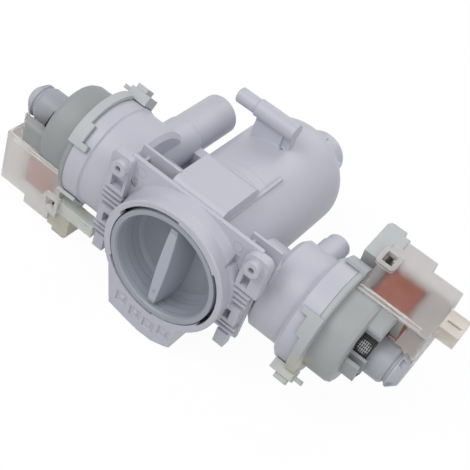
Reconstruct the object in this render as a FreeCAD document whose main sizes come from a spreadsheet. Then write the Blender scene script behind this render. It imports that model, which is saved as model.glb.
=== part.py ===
import FreeCAD, Part
import math
import operator
import os
import Sketcher

os.makedirs("parts", exist_ok=True)
doc = FreeCAD.newDocument("CirculationPump")

# Driving sizes in millimetres
# The filter axis is Y with the cap's front rim at zero, the pump axis is X, and Z is up.
SIZES = [
    # Filter cap and the collar around it
    ("rim_gap", 0.8, "gap between the cap's rim and the collar"),
    ("rim_wall", 3.2, "width of the cap's rim"),
    ("bowl_draft", 1.6, "how much the bowl narrows down to its rounded corner"),
    ("bowl_corner", 3.6, "how much the rounded corner narrows the bowl again"),
    ("cap_floor_y", 22.0, "depth of the bowl's floor"),
    ("cap_floor_wall", 2.5, "thickness of the bowl's floor"),
    ("cap_rim_y", 4.4, "length of the cap's rim"),
    ("cap_back_y", 29.0, "back of the cap's plug"),
    ("plug_gap", 0.4, "gap between the plug and the chamber bore"),
    ("plug_wall", 2.4, "wall of the plug behind the floor"),
    ("lug_gap", 0.3, "gap between the bayonet lugs and their track"),
    ("lug_hold", 1.6, "depth of the bayonet track behind the collar's lip"),
    ("lug_y", 8.6, "front face of the lugs at rest"),
    ("lug_thick", 2.2, "thickness of the lugs"),
    ("lug_width", 15.0, "width of each lug"),
    ("grip_short", 3.6, "how far the grip bar's front ends short of the bowl's rim"),
    ("grip_mid", 3.7, "half width of the grip bar's front in the middle"),
    ("grip_end", 2.5, "half width of the grip bar's front at its ends"),
    ("grip_foot_short", 2.0, "how far the grip bar's foot ends short of the bowl's rim"),
    ("grip_foot_mid", 9.0, "half width of the grip bar's foot in the middle"),
    ("grip_foot_end", 6.0, "half width of the grip bar's foot at its ends"),
    ("grip_front", 1.2, "front of the grip bar behind the rim"),
    ("seal_r", 1.35, "half thickness of the cap's seal ring"),
    ("seal_y", 25.2, "middle of the cap's seal ring"),
    ("seal_fit", 0.05, "running gap between the seal ring and the bore"),
    ("seal_room", 0.1, "gap between the seal ring and its groove"),
    ("collar_r", 45.6, "outside radius of the collar"),
    ("collar_wall", 3.8, "wall of the collar round the bayonet track"),
    ("collar_y", 9.0, "straight length of the collar"),
    ("track_y", 4.8, "front of the bayonet track"),
    ("track_back_y", 12.6, "back of the bayonet track"),
    ("entry_half", 34.0, "half angle of each lug entry in degrees"),
    # Chamber
    ("bore_step", 2.5, "how much narrower the chamber is than the collar's bore"),
    ("bore_y", 15.0, "where the chamber bore starts"),
    ("chamber_side", 2.7, "side wall of the chamber"),
    ("step_one", 0.5, "raised band behind the box on top"),
    ("step_two", 1.1, "raised band under the box on top"),
    ("step_one_y", 74.0, "back of the outer band"),
    ("step_two_y", 66.0, "back of the inner band"),
    ("chamber_y", 161.0, "back of the chamber"),
    ("dome_round", 21.0, "rounding of the chamber's back"),
    ("chamber_wall", 3.0, "wall at the chamber's back"),
    ("stub_r", 17.5, "outside radius of the rear inlet"),
    ("stub_bore_r", 14.0, "bore of the rear inlet"),
    ("stub_x", 4.0, "sideways place of the rear inlet"),
    ("stub_z", -2.0, "height of the rear inlet"),
    ("stub_y", 185.0, "end of the rear inlet"),
    ("stub_root_r", 18.1, "radius of the rear inlet's root"),
    ("stub_seat", 7.0, "plain length of the rear inlet under its hose"),
    # Hood and plate
    ("hood_y", 4.0, "front of the hood"),
    ("hood_round", 17.0, "corner radius of the hood at the plate"),
    ("plate_y", 16.0, "front of the mounting plate"),
    ("plate_thick", 3.0, "thickness of the mounting plate"),
    ("plate_side", 4.4, "reach of the plate beyond the collar at the sides"),
    ("plate_rise", 1.9, "reach of the plate beyond the collar at the top"),
    ("hood_drop", 5.6, "how much the hood ends before the collar's lowest point"),
    ("left_near", 45.5, "inner end of the left clip ribs"),
    ("left_far", 61.5, "outer end of the left clip ribs"),
    ("right_near", 39.0, "inner end of the right clip ribs"),
    ("right_far", 56.0, "outer end of the right clip ribs"),
    # Screw bosses
    ("boss_x", 51.0, "distance of each screw from the middle"),
    ("boss_z", 40.0, "height of the screws"),
    ("boss_y", 6.0, "front face of the screw bosses"),
    ("boss_r", 5.4, "outside radius of the screw bosses"),
    ("screw_r", 2.1, "radius of the screw holes"),
    # Box on top
    ("box_x", -21.5, "left side of the box on top"),
    ("box_wide", 39.0, "width of the box on top"),
    ("box_y", 19.0, "front of the box on top"),
    ("box_long", 40.0, "length of the box on top"),
    ("box_top", 49.0, "top of the box on top"),
    # Volutes: distances from the middle plane
    ("pump_y", 52.0, "the pump axis behind the cap's rim"),
    ("drain_body_r", 36.6, "outside radius of the drain volute"),
    ("circ_body_r", 32.4, "outside radius of the circulation volute"),
    ("ring_r", 37.8, "outside radius of the volute's end ring"),
    ("ring_x", 81.0, "inner side of the end ring"),
    ("ring_end", 94.5, "face of the end ring"),
    ("waist_x", 54.0, "where each volute meets its neck"),
    ("neck_r", 20.0, "radius of each volute's neck"),
    ("volute_r", 29.4, "inside radius of each volute"),
    ("volute_x", 60.0, "inner wall of each volute"),
    ("eye_r", 12.0, "radius of the opening into each volute"),
    ("groove_edge", 2.7, "wall of the end ring outside the seal groove"),
    ("groove_wide", 3.2, "width of the seal groove"),
    ("groove_deep", 2.9, "depth of the seal groove"),
    # Hose nozzles
    ("drain_x", -63.5, "sideways place of the drain nozzle"),
    ("drain_z", 7.5, "height of the drain nozzle"),
    ("drain_r", 14.7, "outside radius of the drain nozzle"),
    ("drain_bore_r", 12.2, "bore of the drain nozzle"),
    ("drain_neck_r", 15.6, "radius of the drain nozzle's root"),
    ("drain_neck_y", 97.0, "end of the drain nozzle's root"),
    ("drain_end", 141.0, "end of the drain nozzle"),
    ("circ_x", 69.0, "sideways place of the circulation nozzle"),
    ("circ_z", 18.0, "height of the circulation nozzle"),
    ("circ_r", 8.4, "outside radius of the circulation nozzle"),
    ("circ_bore_r", 6.2, "bore of the circulation nozzle"),
    ("circ_end", 92.0, "end of the circulation nozzle"),
    ("circ_seat", 7.0, "plain length of the circulation nozzle under its hose"),
    ("tip_round", 1.0, "rounding of the nozzle ends"),
    # Pressure nipple
    ("nipple_y", 112.0, "how far back the nipple lies"),
    ("nipple_z", 55.5, "height of the nipple"),
    ("nipple_thin_r", 5.4, "outside radius of the nipple's tip"),
    ("nipple_thick_r", 6.3, "outside radius of the nipple's root"),
    ("nipple_bore_r", 2.2, "bore of the nipple"),
    ("nipple_tip", -41.0, "open end of the nipple"),
    ("nipple_step", -25.0, "where the nipple steps up"),
    ("nipple_end", 6.0, "closed end of the nipple"),
    # Motors: distances from the middle plane
    ("dome_r", 31.5, "outside radius of the motor cover's dome"),
    ("drain_dome_x", 123.0, "end of the drain motor's dome"),
    ("circ_dome_x", 119.0, "end of the circulation motor's dome"),
    ("flange_x", 94.6, "face of the motor cover"),
    ("flange_thick", 4.0, "thickness of the motor cover's flange"),
    ("flange_r", 38.3, "outside radius of the flange"),
    ("tab_r", 40.9, "outside radius of the bayonet tabs"),
    ("tab_x", 84.0, "how far the bayonet tabs reach"),
    ("tab_gap", 0.5, "gap between the tabs and the end ring"),
    ("clip_out", 27.8, "reach of the cover's clip over the core"),
    ("can_r", 12.8, "outside radius of the rotor can"),
    ("can_bore_r", 11.5, "inside radius of the rotor can"),
    ("can_x", 98.8, "open end of the rotor can"),
    ("drain_can_end", 147.5, "closed end of the drain motor's rotor can"),
    ("circ_can_end", 142.5, "closed end of the circulation motor's rotor can"),
    ("can_lip_r", 17.0, "radius of the can's lip"),
    ("cap_straight", 2.4, "straight length of the can's cap"),
    ("cap_long", 8.6, "whole length of the can's cap"),
    ("cap_end_r", 7.2, "radius of the cap's flat end"),
    ("shaft_r", 2.5, "radius of the motor shaft"),
    ("shaft_in", 72.0, "impeller end of the shaft"),
    ("shaft_room", 2.0, "room between the shaft and the can's closed end"),
    ("shaft_fit", 0.05, "running gap between shaft and bearings"),
    ("magnet_r", 10.8, "radius of the magnet"),
    ("magnet_x", 108.0, "front of the magnet"),
    ("magnet_long", 24.0, "length of the magnet"),
    ("bearing_in", 100.0, "front of the front bearing"),
    ("bearing_long", 6.0, "length of each bearing"),
    ("rear_seat_r", 6.5, "outside radius of the rear bearing"),
    ("seat_back", 9.2, "front of the rear bearing before the can's closed end"),
    # Stator
    ("core_x", 109.5, "front of the laminated core"),
    ("core_thick", 19.0, "thickness of the laminated core"),
    ("core_half", 21.0, "half width of the core"),
    ("core_low", -13.0, "open end of the core"),
    ("core_bevel", 7.0, "bevel on the core's outer corners"),
    ("core_top", 51.7, "closed end of the core"),
    ("leg_in", 9.0, "half width between the legs"),
    ("core_bore_r", 13.4, "bore of the core around the rotor can"),
    ("pole_gap", 3.0, "half gap between the pole tips"),
    ("pole_top", 15.5, "top of the pole tips"),
    ("yoke_low", 45.6, "underside of the core's closed end"),
    ("coil_low", 18.0, "underside of the windings"),
    ("coil_top", 43.5, "top of the windings"),
    ("coil_x", 105.5, "front of the windings"),
    ("coil_wide", 27.0, "width of the windings along the pump axis"),
    ("coil_in", 2.6, "inner side of each winding"),
    ("coil_out", 27.0, "outer side of each winding"),
    ("coil_round", 4.0, "rounding of the windings"),
    ("bobbin_wall", 1.2, "wall of the bobbins"),
    ("slip", 0.2, "gap between the core and the bobbins"),
    ("seat_gap", 0.3, "gap between the motor cover and what sits in it"),
    # Coil housing
    ("house_x", 99.2, "front of the coil housing"),
    ("house_end", 150.0, "end of the coil housing"),
    ("house_half", 29.6, "half width of the coil housing"),
    ("house_low", 12.0, "lower edge of the coil housing"),
    ("house_top", 60.5, "upper edge of the coil housing"),
    ("house_wall", 1.5, "wall of the coil housing"),
    ("port_wall", 1.2, "inner side wall of the plug ports"),
    ("skirt_half", 15.0, "half width of the end wall's lower part"),
    ("skirt_low", 4.0, "lower edge of the end wall"),
    ("house_step", 53.5, "upper edge of the coil housing beside its step"),
    ("step_x", 127.0, "where the coil housing steps down"),
    ("block_top", 66.6, "upper end of the end block"),
]


class Size:
    """A number that also carries the spreadsheet formula behind it."""

    def __init__(self, value, text):
        self.value = value
        self.text = text

    def mix(self, other, sign, work, swap=False):
        other = as_size(other)
        first, second = (other, self) if swap else (self, other)
        text = "(" + first.text + " " + sign + " " + second.text + ")"
        return Size(work(first.value, second.value), text)

    def __add__(self, other):
        return self.mix(other, "+", operator.add)

    def __radd__(self, other):
        return self.mix(other, "+", operator.add, True)

    def __sub__(self, other):
        return self.mix(other, "-", operator.sub)

    def __rsub__(self, other):
        return self.mix(other, "-", operator.sub, True)

    def __mul__(self, other):
        return self.mix(other, "*", operator.mul)

    def __rmul__(self, other):
        return self.mix(other, "*", operator.mul, True)

    def __truediv__(self, other):
        return self.mix(other, "/", operator.truediv)

    def __neg__(self):
        return 0 - self


def as_size(value):
    if isinstance(value, Size):
        return value
    return Size(float(value), "(" + repr(float(value)) + ")")


class Sizes:
    """The named sizes, read as attributes."""


def write_sheet():
    sheet = doc.addObject("Spreadsheet::Sheet", "Sizes")
    named = Sizes()
    for row, (alias, value, note) in enumerate(SIZES, start=1):
        sheet.set("A" + str(row), note)
        sheet.set("B" + str(row), str(value))
        sheet.setAlias("B" + str(row), alias)
        setattr(named, alias, Size(value, "Sizes." + alias))
    doc.recompute()
    return named


S = write_sheet()

# Sizes that follow from the collar, from the outside in
S.track_r = S.collar_r - S.collar_wall
S.lug_r = S.track_r - S.lug_gap
S.collar_bore_r = S.track_r - S.lug_hold
S.cap_r = S.collar_bore_r - S.rim_gap
S.cap_bowl_r = S.cap_r - S.rim_wall
S.grip_half = S.cap_bowl_r - S.grip_short
S.grip_foot_half = S.cap_bowl_r - S.grip_foot_short
S.bore_r = S.collar_bore_r - S.bore_step
S.chamber_r = S.bore_r + S.chamber_side
S.plate_half = S.collar_r + S.plate_side
S.plate_top = S.collar_r + S.plate_rise
S.plate_low = S.hood_drop - S.collar_r

# The cover's seal groove follows the end ring
S.groove_out = S.ring_r - S.groove_edge
S.groove_in = S.groove_out - S.groove_wide


# Helpers
def bind(thing, prop, value):
    value = as_size(value)
    thing.setExpression(prop, value.text)


def put(thing, place):
    for key, value in zip("xyz", place):
        bind(thing, "Placement.Base." + key, value)


TURN = {
    "X": FreeCAD.Rotation(FreeCAD.Vector(0, 1, 0), 90),
    "Y": FreeCAD.Rotation(FreeCAD.Vector(1, 0, 0), -90),
    "Z": FreeCAD.Rotation(),
}


def along(axis, start, across):
    """The point at start along the axis, with its two other coordinates in X, Y, Z order."""
    place = list(across)
    place.insert("XYZ".index(axis), start)
    return place


def block(name, low, high):
    thing = doc.addObject("Part::Box", name)
    put(thing, low)
    for prop, a, b in zip(("Length", "Width", "Height"), low, high):
        bind(thing, prop, as_size(b) - a)
    return thing


def rod(name, axis, r, start, end, across=(0, 0)):
    thing = doc.addObject("Part::Cylinder", name)
    thing.Placement = FreeCAD.Placement(FreeCAD.Vector(), TURN[axis])
    bind(thing, "Radius", r)
    bind(thing, "Height", as_size(end) - start)
    put(thing, along(axis, start, across))
    return thing


def taper(name, axis, r_start, r_end, start, end, across=(0, 0)):
    thing = doc.addObject("Part::Cone", name)
    thing.Placement = FreeCAD.Placement(FreeCAD.Vector(), TURN[axis])
    bind(thing, "Radius1", r_start)
    bind(thing, "Radius2", r_end)
    bind(thing, "Height", as_size(end) - start)
    put(thing, along(axis, start, across))
    return thing


def fuse(name, things):
    whole = doc.addObject("Part::MultiFuse", name)
    whole.Shapes = things
    whole.Refine = True
    return whole


def cut(name, base, tool):
    rest = doc.addObject("Part::Cut", name)
    rest.Base = base
    rest.Tool = tool
    rest.Refine = True
    return rest


def rounded(name, base, radius, wanted):
    """Rounds the edges of base that wanted accepts."""
    doc.recompute()
    result = doc.addObject("Part::Fillet", name)
    result.Base = base
    r = as_size(radius).value
    result.Edges = [(n, r, r) for n, edge in enumerate(base.Shape.Edges, start=1) if wanted(edge)]
    return result


def runs_along(edge, axis):
    """True for a straight edge parallel to the axis."""
    if not isinstance(edge.Curve, Part.Line):
        return False
    return abs(abs(getattr(edge.Curve.Direction, axis)) - 1) < 1e-6


PLANES = {"XY": "XY_Plane", "XZ": "XZ_Plane", "YZ": "YZ_Plane"}


def draw_lines(sketch, points):
    """Closed outline through the points, each held by its own pair of bound distances."""
    points = [(as_size(a), as_size(b)) for a, b in points]
    count = len(points)
    for n in range(count):
        a = points[n]
        b = points[(n + 1) % count]
        start = FreeCAD.Vector(a[0].value, a[1].value, 0)
        end = FreeCAD.Vector(b[0].value, b[1].value, 0)
        sketch.addGeometry(Part.LineSegment(start, end), False)
    for n in range(count):
        sketch.addConstraint(Sketcher.Constraint("Coincident", n, 2, (n + 1) % count, 1))
    for n, (across, up) in enumerate(points):
        for kind, value in (("DistanceX", across), ("DistanceY", up)):
            mark = sketch.addConstraint(Sketcher.Constraint(kind, n, 1, value.value))
            sketch.setExpression("Constraints[" + str(mark) + "]", value.text)


def plane_sketch(body, name, plane, offset=0):
    sketch = body.newObject("Sketcher::SketchObject", name)
    role = PLANES[plane]
    support = [part for part in body.Origin.OriginFeatures if part.Role == role][0]
    sketch.AttachmentSupport = (support, [""])
    sketch.MapMode = "FlatFace"
    bind(sketch, "AttachmentOffset.Base.z", offset)
    return sketch


def new_body(name):
    body = doc.addObject("PartDesign::Body", name)
    body.Label = name
    return body


def turned(body, name, axis, points):
    """Adds a turned shape about X or Y; points are (place along the axis, radius)."""
    sketch = plane_sketch(body, name + "_outline", {"X": "XY", "Y": "YZ"}[axis])
    draw_lines(sketch, points)
    shape = body.newObject("PartDesign::Revolution", name)
    shape.Profile = sketch
    shape.ReferenceAxis = (sketch, ["H_Axis"])
    shape.Angle = 360
    return shape


def pad(body, name, plane, points, start, length):
    """Pads an outline along the plane's normal, which is +X, +Z, or -Y for the XZ plane."""
    sketch = plane_sketch(body, name + "_outline", plane, start)
    draw_lines(sketch, points)
    shape = body.newObject("PartDesign::Pad", name)
    shape.Profile = sketch
    bind(shape, "Length", length)
    return shape


def pocket(body, name, plane, points, start, length):
    """Cuts an outline in the same direction as pad."""
    sketch = plane_sketch(body, name + "_outline", plane, start)
    draw_lines(sketch, points)
    shape = body.newObject("PartDesign::Pocket", name)
    shape.Profile = sketch
    shape.Reversed = True
    bind(shape, "Length", length)
    return shape


def draw_circle(sketch, r):
    """Circle about the sketch's origin."""
    r = as_size(r)
    sketch.addGeometry(Part.Circle(FreeCAD.Vector(), FreeCAD.Vector(0, 0, 1), r.value), False)
    sketch.addConstraint(Sketcher.Constraint("Coincident", 0, 3, -1, 1))
    mark = sketch.addConstraint(Sketcher.Constraint("Radius", 0, r.value))
    sketch.setExpression("Constraints[" + str(mark) + "]", r.text)


def draw_rounded(sketch, low, high, r):
    """Rectangle with rounded corners: four lines and four quarter circles, held by bound distances."""
    (x0, y0), (x1, y1) = [(as_size(a), as_size(b)) for a, b in (low, high)]
    r = as_size(r)
    corners = [
        ((x1 - r, y0 + r), -90), ((x1 - r, y1 - r), 0), ((x0 + r, y1 - r), 90), ((x0 + r, y0 + r), 180),
    ]
    for (cx, cy), start in corners:
        circle = Part.Circle(FreeCAD.Vector(cx.value, cy.value, 0), FreeCAD.Vector(0, 0, 1), r.value)
        arc = Part.ArcOfCircle(circle, math.radians(start), math.radians(start + 90))
        sketch.addGeometry(arc, False)
    for n in range(4):
        a = sketch.Geometry[n].EndPoint
        b = sketch.Geometry[(n + 1) % 4].StartPoint
        sketch.addGeometry(Part.LineSegment(a, b), False)
    for n in range(4):
        sketch.addConstraint(Sketcher.Constraint("Tangent", n, 2, 4 + n, 1))
        sketch.addConstraint(Sketcher.Constraint("Tangent", 4 + n, 2, (n + 1) % 4, 1))
    for n, ((cx, cy), start) in enumerate(corners):
        if n in (0, 2):
            for kind, value in (("DistanceX", cx), ("DistanceY", cy)):
                mark = sketch.addConstraint(Sketcher.Constraint(kind, n, 3, value.value))
                sketch.setExpression("Constraints[" + str(mark) + "]", value.text)
    for n in range(4):
        mark = sketch.addConstraint(Sketcher.Constraint("Radius", n, r.value))
        sketch.setExpression("Constraints[" + str(mark) + "]", r.text)


def round_pocket(body, name, plane, r, start, length):
    sketch = plane_sketch(body, name + "_outline", plane, start)
    draw_circle(sketch, r)
    shape = body.newObject("PartDesign::Pocket", name)
    shape.Profile = sketch
    shape.Reversed = True
    bind(shape, "Length", length)
    return shape


def polar(body, name, original, count):
    """Repeats a padded or pocketed feature around its own sketch's normal."""
    shape = body.newObject("PartDesign::PolarPattern", name)
    shape.Originals = [original]
    shape.Axis = (original.Profile[0], ["N_Axis"])
    shape.Angle = 360
    shape.Occurrences = count
    body.Tip = shape
    return shape


def soften(body, name, radius, wanted):
    """Rounds the edges of the body's latest feature that wanted accepts."""
    doc.recompute()
    base = body.Tip
    names = ["Edge" + str(n) for n, edge in enumerate(base.Shape.Edges, start=1) if wanted(edge)]
    shape = body.newObject("PartDesign::Fillet", name)
    shape.Base = (base, names)
    bind(shape, "Radius", radius)
    return shape


def is_circle(edge, r, place, axis):
    """True for a round edge of this radius whose centre lies at this place on the axis."""
    if not isinstance(edge.Curve, Part.Circle):
        return False
    near = abs(edge.Curve.Radius - as_size(r).value) < 0.01
    return near and abs(getattr(edge.Curve.Center, axis) - as_size(place).value) < 0.01


def rectangle(low, high):
    (a, b), (c, d) = low, high
    return [(a, b), (c, b), (c, d), (a, d)]


def spun(points, degrees):
    """The outline turned anticlockwise about its origin."""
    c = math.cos(math.radians(degrees))
    s = math.sin(math.radians(degrees))
    return [(as_size(a) * c - as_size(b) * s, as_size(a) * s + as_size(b) * c) for a, b in points]


# Filter
LUG_COUNT = 3
ENTRY_ANGLES = (2, 122, 242)
LUG_ANGLE = 62
FINGERS = 12
FINGER_HALF = 1.6
STRAINER_GAP = 1.2
STRAINER_WALL = 2.4
STRAINER_LONG = 78.0


def draw_bar(sketch, middle, end, half):
    """Long bar whose two sides bulge from its ends to its middle, each side one arc."""
    bulge = middle - end
    r = (half * half + bulge * bulge) / (bulge * 2)
    corners = [(end, -half), (end, half), (-end, half), (-end, -half)]
    points = [FreeCAD.Vector(a.value, b.value, 0) for a, b in corners]
    side = FreeCAD.Vector(middle.value, 0, 0)
    sketch.addGeometry(Part.Arc(points[0], side, points[1]), False)
    sketch.addGeometry(Part.LineSegment(points[1], points[2]), False)
    sketch.addGeometry(Part.Arc(points[2], -side, points[3]), False)
    sketch.addGeometry(Part.LineSegment(points[3], points[0]), False)
    ends = ((0, 1), (0, 2), (2, 1), (2, 2))
    for (number, end_mark), (line, line_mark) in zip(ends, ((3, 2), (1, 1), (1, 2), (3, 1))):
        sketch.addConstraint(Sketcher.Constraint("Coincident", number, end_mark, line, line_mark))
    for (number, end_mark), place in zip(ends, corners):
        for kind, value in zip(("DistanceX", "DistanceY"), place):
            mark = sketch.addConstraint(Sketcher.Constraint(kind, number, end_mark, value.value))
            sketch.setExpression("Constraints[" + str(mark) + "]", value.text)
    for number in (0, 2):
        mark = sketch.addConstraint(Sketcher.Constraint("Radius", number, r.value))
        sketch.setExpression("Constraints[" + str(mark) + "]", r.text)


def make_cap():
    body = new_body("filter_cap")
    rim_back = S.cap_r - 0.4
    plug_r = S.bore_r - S.plug_gap
    floor_back = S.cap_floor_y + S.cap_floor_wall
    groove = S.seal_r + S.seal_room
    groove_floor = S.bore_r - S.seal_fit - S.seal_r * 2 - S.seal_room
    inner_r = plug_r - S.plug_wall - 2
    wall_r = S.cap_bowl_r - S.bowl_draft
    turned(body, "cap_turned", "Y", [
        (0, S.cap_bowl_r), (0, S.cap_r), (S.cap_rim_y, S.cap_r), (S.cap_rim_y + 1, rim_back),
        (S.bore_y - 1.8, rim_back), (S.bore_y - 0.4, plug_r), (S.seal_y - groove, plug_r),
        (S.seal_y - groove, groove_floor), (S.seal_y + groove, groove_floor), (S.seal_y + groove, plug_r),
        (S.cap_back_y, plug_r), (S.cap_back_y, inner_r), (floor_back, inner_r), (floor_back, 0),
        (S.cap_floor_y, 0), (S.cap_floor_y, wall_r - S.bowl_corner),
        (S.cap_floor_y - 2.4, wall_r - S.bowl_corner / 3), (S.cap_floor_y - 7, wall_r),
        (1.5, S.cap_bowl_r - 0.8),
    ])
    front = plane_sketch(body, "grip_front_outline", "XZ", -S.grip_front)
    draw_bar(front, S.grip_mid, S.grip_end, S.grip_half)
    foot = plane_sketch(body, "grip_foot_outline", "XZ", -(S.cap_floor_y + 1))
    draw_bar(foot, S.grip_foot_mid, S.grip_foot_end, S.grip_foot_half)
    grip = body.newObject("PartDesign::AdditiveLoft", "grip_bar")
    grip.Profile = front
    grip.Sections = [foot]
    grip.Ruled = True
    lug_outline = rectangle((S.cap_r - 1.5, -S.lug_width / 2), (S.lug_r - 0.7, S.lug_width / 2))
    lug = pad(body, "cap_lug", "XZ", spun(lug_outline, LUG_ANGLE), -(S.lug_y + S.lug_thick), S.lug_thick)
    polar(body, "cap_lugs", lug, LUG_COUNT)
    soften(body, "grip_round", 0.7, lambda edge: edge.BoundBox.YMax < S.grip_front.value + 0.01
           and edge.BoundBox.YMin > S.grip_front.value - 0.01)
    return body


def make_seal():
    thing = doc.addObject("Part::Torus", "filter_seal")
    thing.Placement = FreeCAD.Placement(FreeCAD.Vector(), TURN["Y"])
    bind(thing, "Radius1", S.bore_r - S.seal_fit - S.seal_r)
    bind(thing, "Radius2", S.seal_r)
    put(thing, (0, S.seal_y, 0))
    return thing


def make_strainer():
    body = new_body("filter_strainer")
    r = S.bore_r - STRAINER_GAP
    inner = r - STRAINER_WALL
    front = S.cap_back_y
    back = front + STRAINER_LONG
    middle = (front + back) / 2
    turned(body, "front_ring", "Y", [(front, inner - 3), (front, r), (front + 4, r), (front + 4, inner - 3)])
    outline = rectangle((-FINGER_HALF, inner + 0.4), (FINGER_HALF, r - 0.4))
    finger = pad(body, "finger", "XZ", outline, -(back + 1), back - front - 1)
    polar(body, "fingers", finger, FINGERS)
    turned(body, "middle_ring", "Y",
           [(middle - 1, inner), (middle - 1, r), (middle + 1, r), (middle + 1, inner)])
    turned(body, "back_ring", "Y", [(back, inner), (back, r), (back + 3, r), (back + 3, inner)])
    return body


# Pump housing
def make_chamber():
    body = new_body("chamber_shell")
    outer = S.chamber_r
    turned(body, "chamber_turned", "Y", [
        (0, 0), (0, S.collar_r - 0.8), (0.8, S.collar_r), (S.collar_y, S.collar_r),
        (S.plate_y, S.collar_r + 2), (S.plate_y + 2, outer + S.step_two), (S.step_two_y, outer + S.step_two),
        (S.step_two_y, outer + S.step_one), (S.step_one_y, outer + S.step_one),
        (S.step_one_y, outer), (S.chamber_y, outer), (S.chamber_y, 0),
    ])
    soften(body, "chamber_back", S.dome_round, lambda edge: is_circle(edge, S.chamber_r, S.chamber_y, "y"))
    return body


def make_hood():
    hood = new_body("hood")
    ring = plane_sketch(hood, "hood_ring", "XZ", -S.hood_y)
    draw_circle(ring, S.collar_r - 0.2)
    frame = plane_sketch(hood, "hood_frame", "XZ", -(S.plate_y + 0.5))
    draw_rounded(frame, (-S.plate_half, S.plate_low), (S.plate_half, S.plate_top), S.hood_round)
    skin = hood.newObject("PartDesign::AdditiveLoft", "hood_skin")
    skin.Profile = ring
    skin.Sections = [frame]
    back = S.plate_y + S.plate_thick
    top = block("plate_upper", (-S.plate_half, S.plate_y, S.plate_low), (S.plate_half, back, S.plate_top))
    return [hood, top]


# Heights of what each side of the plate carries, as lower and upper ends
RIB_HEIGHTS = (13.5, 9.5, 5.5, -17, -21)
RIB_THICK = 1.6
RIB_DEEP = 5.5
SIDE_SPAN = (-27, 30)
SOCKET_SPAN = (-13, 2)
SOCKET_HOLE = (-10.5, -2.5)
FOOT_TAB = (-37, -25)
BOSS_LOW = 17
BOSS_DEEP = 5.0
BOSS_POCKET = (20, 29)
SIDE_SLOT = (27, 33)


def make_side(sign, near, far, block_span, block_round, pocket_span):
    """Screw boss, clip ribs and socket block at one side of the plate."""
    name = "left" if sign < 0 else "right"
    face = S.plate_y

    def side_block(part, across, deep, up):
        low, high = across if sign > 0 else (-across[1], -across[0])
        return block(name + "_" + part, (low, deep[0], up[0]), (high, deep[1], up[1]))

    raw = side_block("boss_raw", block_span, (face - BOSS_DEEP, face + 1.5), (BOSS_LOW, S.plate_top - 0.5))
    soft = rounded(name + "_boss_block", raw, block_round, lambda edge: runs_along(edge, "y")
                   and edge.BoundBox.ZMin > S.plate_top.value - 2)
    boss = (sign * S.boss_x, S.boss_z)
    solid = [
        soft,
        rod(name + "_boss", "Y", S.boss_r, S.boss_y, face, boss),
        side_block("side_plate", (near, far), (face, face + S.plate_thick), SIDE_SPAN),
        side_block("socket_block", (near + 0.5, far - 2), (face - 6, face + 1), SOCKET_SPAN),
        side_block("foot_tab", (near + 5, near + 13), (face - 4, face + 3), FOOT_TAB),
    ]
    for number, height in enumerate(RIB_HEIGHTS):
        rib = side_block("clip_rib_" + str(number), (near, far), (face - RIB_DEEP, face + 1),
                         (height, height + RIB_THICK))
        solid.append(rib)
    hollow = [
        rod(name + "_screw_hole", "Y", S.screw_r, S.boss_y - 1, face + 6, boss),
        side_block("boss_pocket", pocket_span, (face - 6, face + 0.5), BOSS_POCKET),
        side_block("socket", (near + 3, near + 9.5), (face - 7, face - 0.5), SOCKET_HOLE),
        side_block("slot", (near - 4, near - 1), (face - 9, face + 1), SIDE_SLOT),
    ]
    return solid, hollow


LIP_OUTLINE = [
    (-35.5, -28), (-27.6, -57.7), (-12.4, -60.8), (-1.4, -62.5), (9.7, -62), (19.7, -58.2), (23.6, -55.8),
    (24.3, -37.5), (20, -30),
]
LIP_ROOM = [
    (-30, -30), (-25.4, -54.8), (-12, -58.2), (-1.4, -59.9), (9.2, -59.4), (18.8, -55.9), (21, -54.3),
    (21.7, -38), (18, -32),
]
LIP_FIELDS = ((-19.4, -46.6), (-7.2, -50.2), (4.2, -51.2), (16.2, -48.2))
FIELD_HALF = 4.3
FIELD_DEEP = 0.9
BAR_HALF = 2.0
BAR_HIGH = 1.4
LIP_BACK = 19.0
LIP_WALL = 2.6


def make_lip():
    """The fan-shaped lip under the collar: a box open at the back, with four sunk fields in its face."""
    body = new_body("front_lip")
    pad(body, "lip_block", "XZ", LIP_OUTLINE, -LIP_BACK, LIP_BACK)
    pocket(body, "lip_room", "XZ", LIP_ROOM, -(LIP_BACK + 1), LIP_BACK + 1 - LIP_WALL)
    for number, (x, z) in enumerate(LIP_FIELDS):
        corners = rectangle((x - FIELD_HALF, z - FIELD_HALF), (x + FIELD_HALF, z + FIELD_HALF))
        pocket(body, "lip_field_" + str(number), "XZ", corners, -FIELD_DEEP, FIELD_DEEP + 1)
    bars = []
    for number, (x, z) in enumerate(LIP_FIELDS):
        low = (x - BAR_HALF, FIELD_DEEP - 0.6, z - BAR_HIGH)
        bars.append(block("lip_bar_" + str(number), low, (x + BAR_HALF, FIELD_DEEP + 0.2, z + BAR_HIGH)))
    return [body] + bars


BOX_LOW = 28.0
BOX_ROUND = 7.0
GUSSET_Y = 26.0
GUSSET_THICK = 2.0
BRIDGE_BACK = 40.0
RIB_X = 16.3
RIB_BACK = 88.0
RIB_RISE = 3.2


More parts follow.
